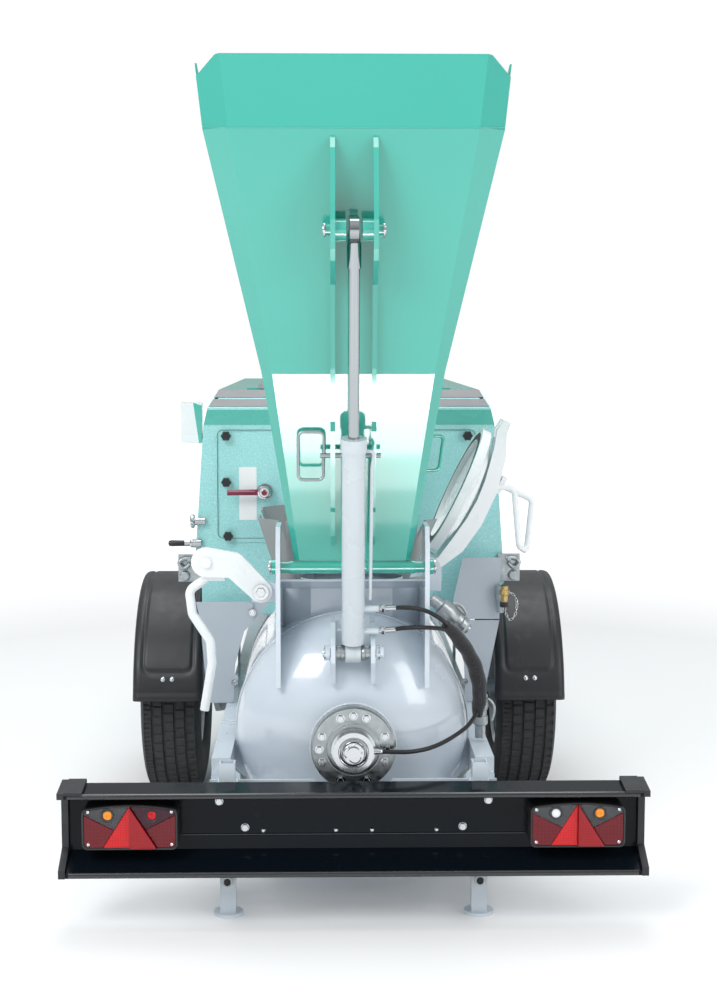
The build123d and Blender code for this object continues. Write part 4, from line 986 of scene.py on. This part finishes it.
def weld(name, ends, radius, look, body, slot):
    """Rippled bead along a line of points."""
    line = []
    for a, b in zip(ends, ends[1:]):
        count = max(2, int((b - a).length / 0.003))
        line += [a.lerp(b, i / count) for i in range(count)]
    line.append(ends[-1])

    def ripple(share, a):
        return radius * (0.85 + 0.15 * math.sin(share * len(line) * 1.6))

    bm = bmesh.new()
    tube_along(bm, line, ripple, 8)
    add(name, bm, look, slot, body)


def round_weld(name, ring_radius, y, count, radius):
    ends = [on_flange(ring_radius, 360 * i / count, y) for i in range(count + 1)]
    weld(name, ends, radius, "vessel", "root", "vessel_grey")


def skip_welds():
    look = (0.0018, "green", "skip", "skip_green")
    left, right = (at(side * SKIP_SEAM_HALF, SKIP_SEAM_Y, SKIP_SEAM_Z) for side, _ in SIDES)
    weld("skip_seam", [left, right], *look)
    for (side, name), start in zip(SIDES, (left, right)):
        weld("skip_seam_" + name, [start, at(side * SKIP_SIDE[0], *SKIP_SIDE[1:])], *look)


skip_welds()
for seam_y in VESSEL_SEAMS_Y:
    round_weld(f"vessel_seam_{seam_y}", VESSEL_SEAM_R, seam_y, 96, 0.0026)
round_weld("flange_seam", 111, 200, 72, 0.004)


# ---- pins, washers and bushes of the lift, and the support legs ----
EYE_R = 0.032
RAM_LOW = (235, 660)                       # (y, z) of the cylinder's lower pin
SKIP_PIVOT = (310, 876)
WASHER = ((0, 0.009), (0, 0.0195), (0.0035, 0.0195), (0.0035, 0.012), (0.006, 0.0115), (0.007, 0.009),
          (0.007, 0))
BUSH = ((0, 0.013), (0, 0.0205), (0.003, 0.022), (0.010, 0.022), (0.0115, 0.0195), (0.020, 0.0195),
        (0.0235, 0.022), (0.0245, 0.022), (0.0245, 0.013))
LEG_X, LEG_FACE_Y, LEG_HOLE_Z = 323, 91, 97
COLLAR = ((0, 0.0085), (0.002, 0.0085), (0.0035, 0.010), (0.0035, 0.0135), (0.001, 0.0145), (0, 0.0145))
# Flat black disc for the inside of the pin hole: painted shade.
HOLE_SHADE_DISC = ((0, 0), (0, 0.0085), (0.0012, 0.0080), (0.0012, 0))


def ram_top():
    """(y, z) of the skip's cylinder pin, from the eye at the top of the rod."""
    corners = [v.co for v in NODES["cylinder_rod"].data.vertices]
    top = max(v.z for v in corners)
    across = [v.y for v in corners if v.z > top - 2 * EYE_R]
    middle = (min(across) + max(across)) / 2
    return (middle - REAR) * 1000, (top - EYE_R) * 1000


def washer_pair(name, right_x, left_x, place, body):
    bm = bmesh.new()
    lathe(bm, at(right_x, *place), (1, 0, 0), WASHER, 32)
    lathe(bm, at(left_x, *place), (-1, 0, 0), WASHER, 32)
    add(name, bm, "bright", "zinc", body)


def ram_bushes():
    bm = bmesh.new()
    for side, _ in SIDES:
        lathe(bm, at(side * 21, *RAM_LOW), (side, 0, 0), BUSH, 40)
    add("ram_bushes", bm, "zinc", "zinc", smooth=35)


def leg_details(side, name):
    """Pin hole of a support leg with its collar; a flat black disc stands for the hole's inside as painted
    shade.
    """
    place = at(side * LEG_X, LEG_FACE_Y, LEG_HOLE_Z)
    turned("leg_collar_" + name, place, REARWARD, COLLAR, 32, "zinc", "zinc", "support_leg_" + name)
    turned("leg_hole_painted_shade_" + name, place, REARWARD, HOLE_SHADE_DISC, 32, "seal", "rubber_black", "support_leg_" + name)


washer_pair("ram_washers", 66, -72, RAM_LOW, "root")
washer_pair("skip_washers", 216, -216, SKIP_PIVOT, "skip")
washer_pair("eye_washers", 70, -70, ram_top(), "skip")
ram_bushes()
on_both_sides(leg_details)


# ---- hood trim ----
BAND_Y, ROOF_Z = 949, 1323.5
SLOPE_LOW, SLOPE_HIGH = ((953, 1274.5), (980, 1296)), ((986, 1300.5), (1014, 1322.5))
ROOF_HALF, ROOF_Y = 258, (1030, 2560)
HINGES_Y, LATCHES_Y = (1085, 2440), (1380, 2190)
KNUCKLE = ((0, 0), (0, 0.0085), (0.002, 0.0095), (0.024, 0.0095), (0.026, 0.0085), (0.026, 0))
LATCH = ((0, 0), (0, 0.030), (0.004, 0.030), (0.006, 0.026), (0.006, 0.021), (0.003, 0.019), (0.003, 0))


def trapezium(bm, low_half, low, high_half, high, thickness):
    """Plate centred on the machine, wider or narrower at its upper (y, z) edge."""
    corners = [at(-low_half, *low), at(low_half, *low), at(high_half, *high), at(-high_half, *high)]
    slab(bm, corners, thickness)


def hood_sheets():
    bm = bmesh.new()
    trapezium(bm, 440, (BAND_Y, 1219), 429, (BAND_Y, 1264), 0.0008)
    add("hood_band", bm, "green_dark", "door_green")
    bm = bmesh.new()
    trapezium(bm, 424, SLOPE_LOW[0], 412, SLOPE_LOW[1], 0.0015)
    trapezium(bm, 410, SLOPE_HIGH[0], 398, SLOPE_HIGH[1], 0.0015)
    add("roof_strips", bm, "roof", "frame_grey")
    bm = bmesh.new()
    trapezium(bm, ROOF_HALF, (ROOF_Y[0], ROOF_Z), ROOF_HALF, (ROOF_Y[1], ROOF_Z), 0.0015)
    add("roof_sheet", bm, "roof", "frame_grey")


def door_fittings(side, name):
    bm = bmesh.new()
    for y in HINGES_Y:
        for knuckle in range(3):
            lathe(bm, at(side * 270, y - 22 + knuckle * 28, 1333), (0, 1, 0), KNUCKLE, 24)
    add("roof_hinges_" + name, bm, "bright", "zinc")
    bm = bmesh.new()
    for y in LATCHES_Y:
        lathe(bm, at(side * 448, y, 1125), (side, 0, 0), LATCH, 36)
        bar_block(bm, side * 449, side * 458, y - 5, y + 5, 1108, 1142)
    latch = add("door_latches_" + name, bm, "knob", "knob_black", "door_" + name)
    round_edges(latch, 0.0015, 2)


def flap_side():
    bm = bmesh.new()
    slab(bm, [at(x, 984, z) for x, z in ((-457, 1160), (-448, 1164), (-448, 1276), (-474, 1284))], 0.001)
    add("flap_side", bm, "green_dark", "door_green")


hood_sheets()
on_both_sides(door_fittings)
flap_side()


# ---- fittings beside the hood ----
SOCKET = ((-0.03, 0), (-0.03, 0.012), (0, 0.012), (0, 0.018), (0.004, 0.021), (0.010, 0.021),
          (0.014, 0.017), (0.014, 0))
LEVER_BOSS = ((0, 0), (0, 0.013), (0.03, 0.013), (0.034, 0.009), (0.05, 0.009), (0.05, 0))
LEVER_GRIP = ((0, 0), (0, 0.0075), (0.006, 0.0085), (0.05, 0.0095), (0.058, 0.0075), (0.060, 0))
HOOK_LINE = ((478, 930, 812), (505, 926, 816), (520, 924, 800), (498, 924, 778), (484, 926, 800))
HOOK_BOSS = ((0, 0), (0, 0.016), (0.01, 0.016), (0.013, 0.012), (0.013, 0))
BRASS_X, BRASS_Y = 462, 838
BRASS = ((0, 0), (0, 0.012), (0.012, 0.012), (0.014, 0.015), (0.026, 0.015), (0.028, 0.011),
         (0.05, 0.011), (0.05, 0))
BRASS_CAP = ((0, 0), (0, 0.013), (0.012, 0.0135), (0.016, 0.011), (0.016, 0))
CHAIN_LINE = (at(474, 836, 724), at(500, 834, 716), at(500, 834, 660), at(480, 836, 634),
              at(466, 836, 660), at(463, 836, 680))
LINK, LINK_WIRE = 0.0075, 0.0012           # half length of a chain link, and its wire's radius


def along(line, distance):
    """Point and direction at a distance along a line."""
    for a, b in zip(line, line[1:]):
        step = (b - a).length
        if distance <= step:
            break
        distance -= step
    return a.lerp(b, distance / step), b - a


def chain(bm, points):
    """Row of links hung along a line, every other one turned a quarter."""
    line = smooth_line(points, 60)
    total = sum((b - a).length for a, b in zip(line, line[1:]))
    count = int(total / (LINK * 1.35))
    for i in range(count):
        centre, direction = along(line, total * (i + 0.5) / count)
        quarter = Matrix.Rotation(math.pi / 2 * (i % 2), 4, "Z")
        place = Matrix.Translation(centre) @ frame_along(direction) @ quarter
        loop = []
        for k in range(12):
            t = 2 * math.pi * k / 12
            loop.append(place @ Vector((LINK * 0.42 * math.cos(t), 0, LINK * math.sin(t))))
        tube_along(bm, loop, LINK_WIRE, 6, closed=True)


def hood_lever():
    bm = bmesh.new()
    lathe(bm, at(-468, 940, 927), (-1, 0, 0), SOCKET, 32)
    lathe(bm, at(-450, 940, 860), (-1, 0, 0), LEVER_BOSS, 28)
    add("hood_socket", bm, "bright", "zinc")
    turned("hood_lever_grip", at(-490, 940, 860), (-1, 0, 0), LEVER_GRIP, 28, "knob", "knob_black")


def mudguard_latch(side, name):
    bm = bmesh.new()
    hook = [at(side * x, y, z) for x, y, z in HOOK_LINE]
    tube_along(bm, smooth_line(hook, 40), 0.006, 16)
    hexagon(bm, at(side * 486, 928, 812), REARWARD, 0.013, 0.008)
    lathe(bm, at(side * 500, 940, 760), REARWARD, HOOK_BOSS, 28)
    bar_block(bm, side * 452, side * 520, 938, 943, 742, 826)
    latch = add("mudguard_latch_" + name, bm, "zinc", "zinc")
    round_edges(latch, 0.001, 2)


def brass_coupling():
    bm = bmesh.new()
    lathe(bm, at(BRASS_X, BRASS_Y, 742), (0, 0, -1), BRASS, 28)
    hexagon(bm, at(BRASS_X, BRASS_Y, 728), (0, 0, -1), 0.028, 0.012)
    add("brass_coupling", bm, "brass", "zinc")
    turned("coupling_cap", at(BRASS_X, BRASS_Y, 694), (0, 0, -1), BRASS_CAP, 28, "knob", "knob_black")
    bm = bmesh.new()
    chain(bm, CHAIN_LINE)
    add("cap_chain", bm, "bright", "zinc")


hood_lever()
on_both_sides(mudguard_latch)
brass_coupling()


# ---- couplings beside the vessel ----
CLAW_FROM, CLAW_TO = at(214, 398, 778), at(318, 398, 688)
CLAW_BODY = ((0, 0), (0, 0.014), (0.022, 0.014), (0.022, 0.018), (0.032, 0.018), (0.036, 0.0255),
             (0.062, 0.0275), (0.088, 0.0255), (0.094, 0.020), (0.104, 0.020), (0.108, 0.024),
             (0.120, 0.024), (0.128, 0.017), (0.132, 0))
# A claw's line, as (out from its hinge in metres, share of the coupling's length).
CLAW_LINE = ((0, 0), (0.010, 0.06), (0.011, 0.2), (0.003, 0.33))
LOWER_BODY = ((0, 0), (0, 0.013), (0.014, 0.013), (0.016, 0.021), (0.038, 0.022), (0.044, 0.017),
              (0.060, 0.017), (0.064, 0.0205), (0.084, 0.0205), (0.090, 0.014), (0.118, 0.014), (0.122, 0))
LOWER_LEVER = (at(370, 394, 500), at(386, 392, 490), at(388, 392, 462), at(380, 392, 440))


def vessel_couplings():
    bm = bmesh.new()
    run = CLAW_TO - CLAW_FROM
    lathe(bm, CLAW_FROM, run, CLAW_BODY, 40)
    for turn in (-1, 1):
        out = run.normalized().cross(Vector((0, 1, 0))) * turn
        hinge = CLAW_FROM + run * 0.42 + out * 0.027
        claw = [hinge + out * distance + run * share for distance, share in CLAW_LINE]
        tube_along(bm, smooth_line(claw, 20), 0.0052, 12)
    lathe(bm, at(350, 396, 516), (0, 0, -1), LOWER_BODY, 36)
    tube_along(bm, smooth_line(LOWER_LEVER, 20), 0.0045, 12)
    add("hose_couplings", bm, "zinc", "zinc")


vessel_couplings()


# ---- floor and light ----
FADE_FROM, FADE_TO = 2.6, 6.5              # metres from the middle of the machine
FADE_GLOW = 0.62


def make_stage():
    """Pale floor that glows up to white away from the machine, so no horizon shows."""
    bpy.ops.mesh.primitive_plane_add(size=60, location=(0, 0, 0))
    floor = bpy.context.object
    floor.name = "floor"
    ground = Shader("floor_pale", (0.88, 0.88, 0.885), 0.6, spec=0.1)
    ground.tint(ground.noise(0.8, 3.0), 0.3, 0.7, 0.5, (0.86, 0.86, 0.865))
    place = ground.node("ShaderNodeVectorMath", operation="LENGTH")
    ground.link(ground.coords.outputs["Object"], place.inputs[0])
    ground.bsdf.inputs["Emission Color"].default_value = (1, 1, 1, 1)
    glow = ground.ramp(place.outputs["Value"], FADE_FROM, FADE_TO, 0.0, FADE_GLOW)
    ground.link(glow, ground.bsdf.inputs["Emission Strength"])
    floor.data.materials.append(ground.mat)


def make_world():
    """Studio room: white to look at, bright ceiling, and a dimmer band of walls."""
    world = bpy.data.worlds.new("studio")
    world.use_nodes = True
    tree = world.node_tree
    lit = tree.nodes["Background"]
    coords = tree.nodes.new("ShaderNodeTexCoord")
    split = tree.nodes.new("ShaderNodeSeparateXYZ")
    height = tree.nodes.new("ShaderNodeMapRange")
    set_inputs(height, {"From Min": -0.05, "From Max": 0.75, "To Min": 0.30, "To Max": 0.85})
    tree.links.new(coords.outputs["Generated"], split.inputs["Vector"])
    tree.links.new(split.outputs["Z"], height.inputs["Value"])
    tree.links.new(height.outputs["Result"], lit.inputs["Strength"])
    lit.inputs["Color"].default_value = (0.96, 0.985, 1.0, 1)
    seen = tree.nodes.new("ShaderNodeBackground")
    seen.inputs["Color"].default_value = (1, 1, 1, 1)
    ray = tree.nodes.new("ShaderNodeLightPath")
    mix = tree.nodes.new("ShaderNodeMixShader")
    tree.links.new(ray.outputs["Is Camera Ray"], mix.inputs["Fac"])
    tree.links.new(lit.outputs["Background"], mix.inputs[1])
    tree.links.new(seen.outputs["Background"], mix.inputs[2])
    tree.links.new(mix.outputs["Shader"], tree.nodes["World Output"].inputs["Surface"])
    bpy.context.scene.world = world


def softbox(name, place, target, size, power):
    data = bpy.data.lights.new(name, "AREA")
    data.shape = "RECTANGLE"
    data.size, data.size_y = size
    data.energy = power
    light = bpy.data.objects.new(name, data)
    light.location = place
    light.rotation_euler = (Vector(target) - Vector(place)).to_track_quat("-Z", "Y").to_euler()
    bpy.context.scene.collection.objects.link(light)
    return light


# Cards on the floor behind the machine: (y, depth in metres, watts).
CHUTE_CARDS = ((-1560, 0.36, 62), (-1270, 0.22, 24), (-1060, 0.2, 11), (-870, 0.18, 4))


def chute_reflector():
    """Low bright cards behind the machine, fading towards it, that only the glossy skip mirrors."""
    mirrors = bpy.data.collections.new("card_mirrors")
    for name in ("skip_shell", "skip_rails", "skip_handle"):
        mirrors.objects.link(NODES[name])
    for i, (y, depth, power) in enumerate(CHUTE_CARDS):
        card = softbox(f"chute_card_{i}", at(0, y, 30), at(0, y, 900), (3.4, depth), power)
        card.visible_diffuse = False
        card.visible_camera = False
        card.light_linking.receiver_collection = mirrors


make_stage()
make_world()
softbox("key", (-3.0, -5.4, 4.4), (0, -1.4, 0.9), (2.4, 2.4), 150)
softbox("fill", (3.6, -4.8, 2.6), (0, -1.2, 0.8), (1.6, 3.0), 60)
softbox("top", (0, -0.5, 5.2), (0, -0.6, 1), (3.0, 4.0), 120)
chute_reflector()

bpy.context.scene.view_settings.view_transform = "Standard"
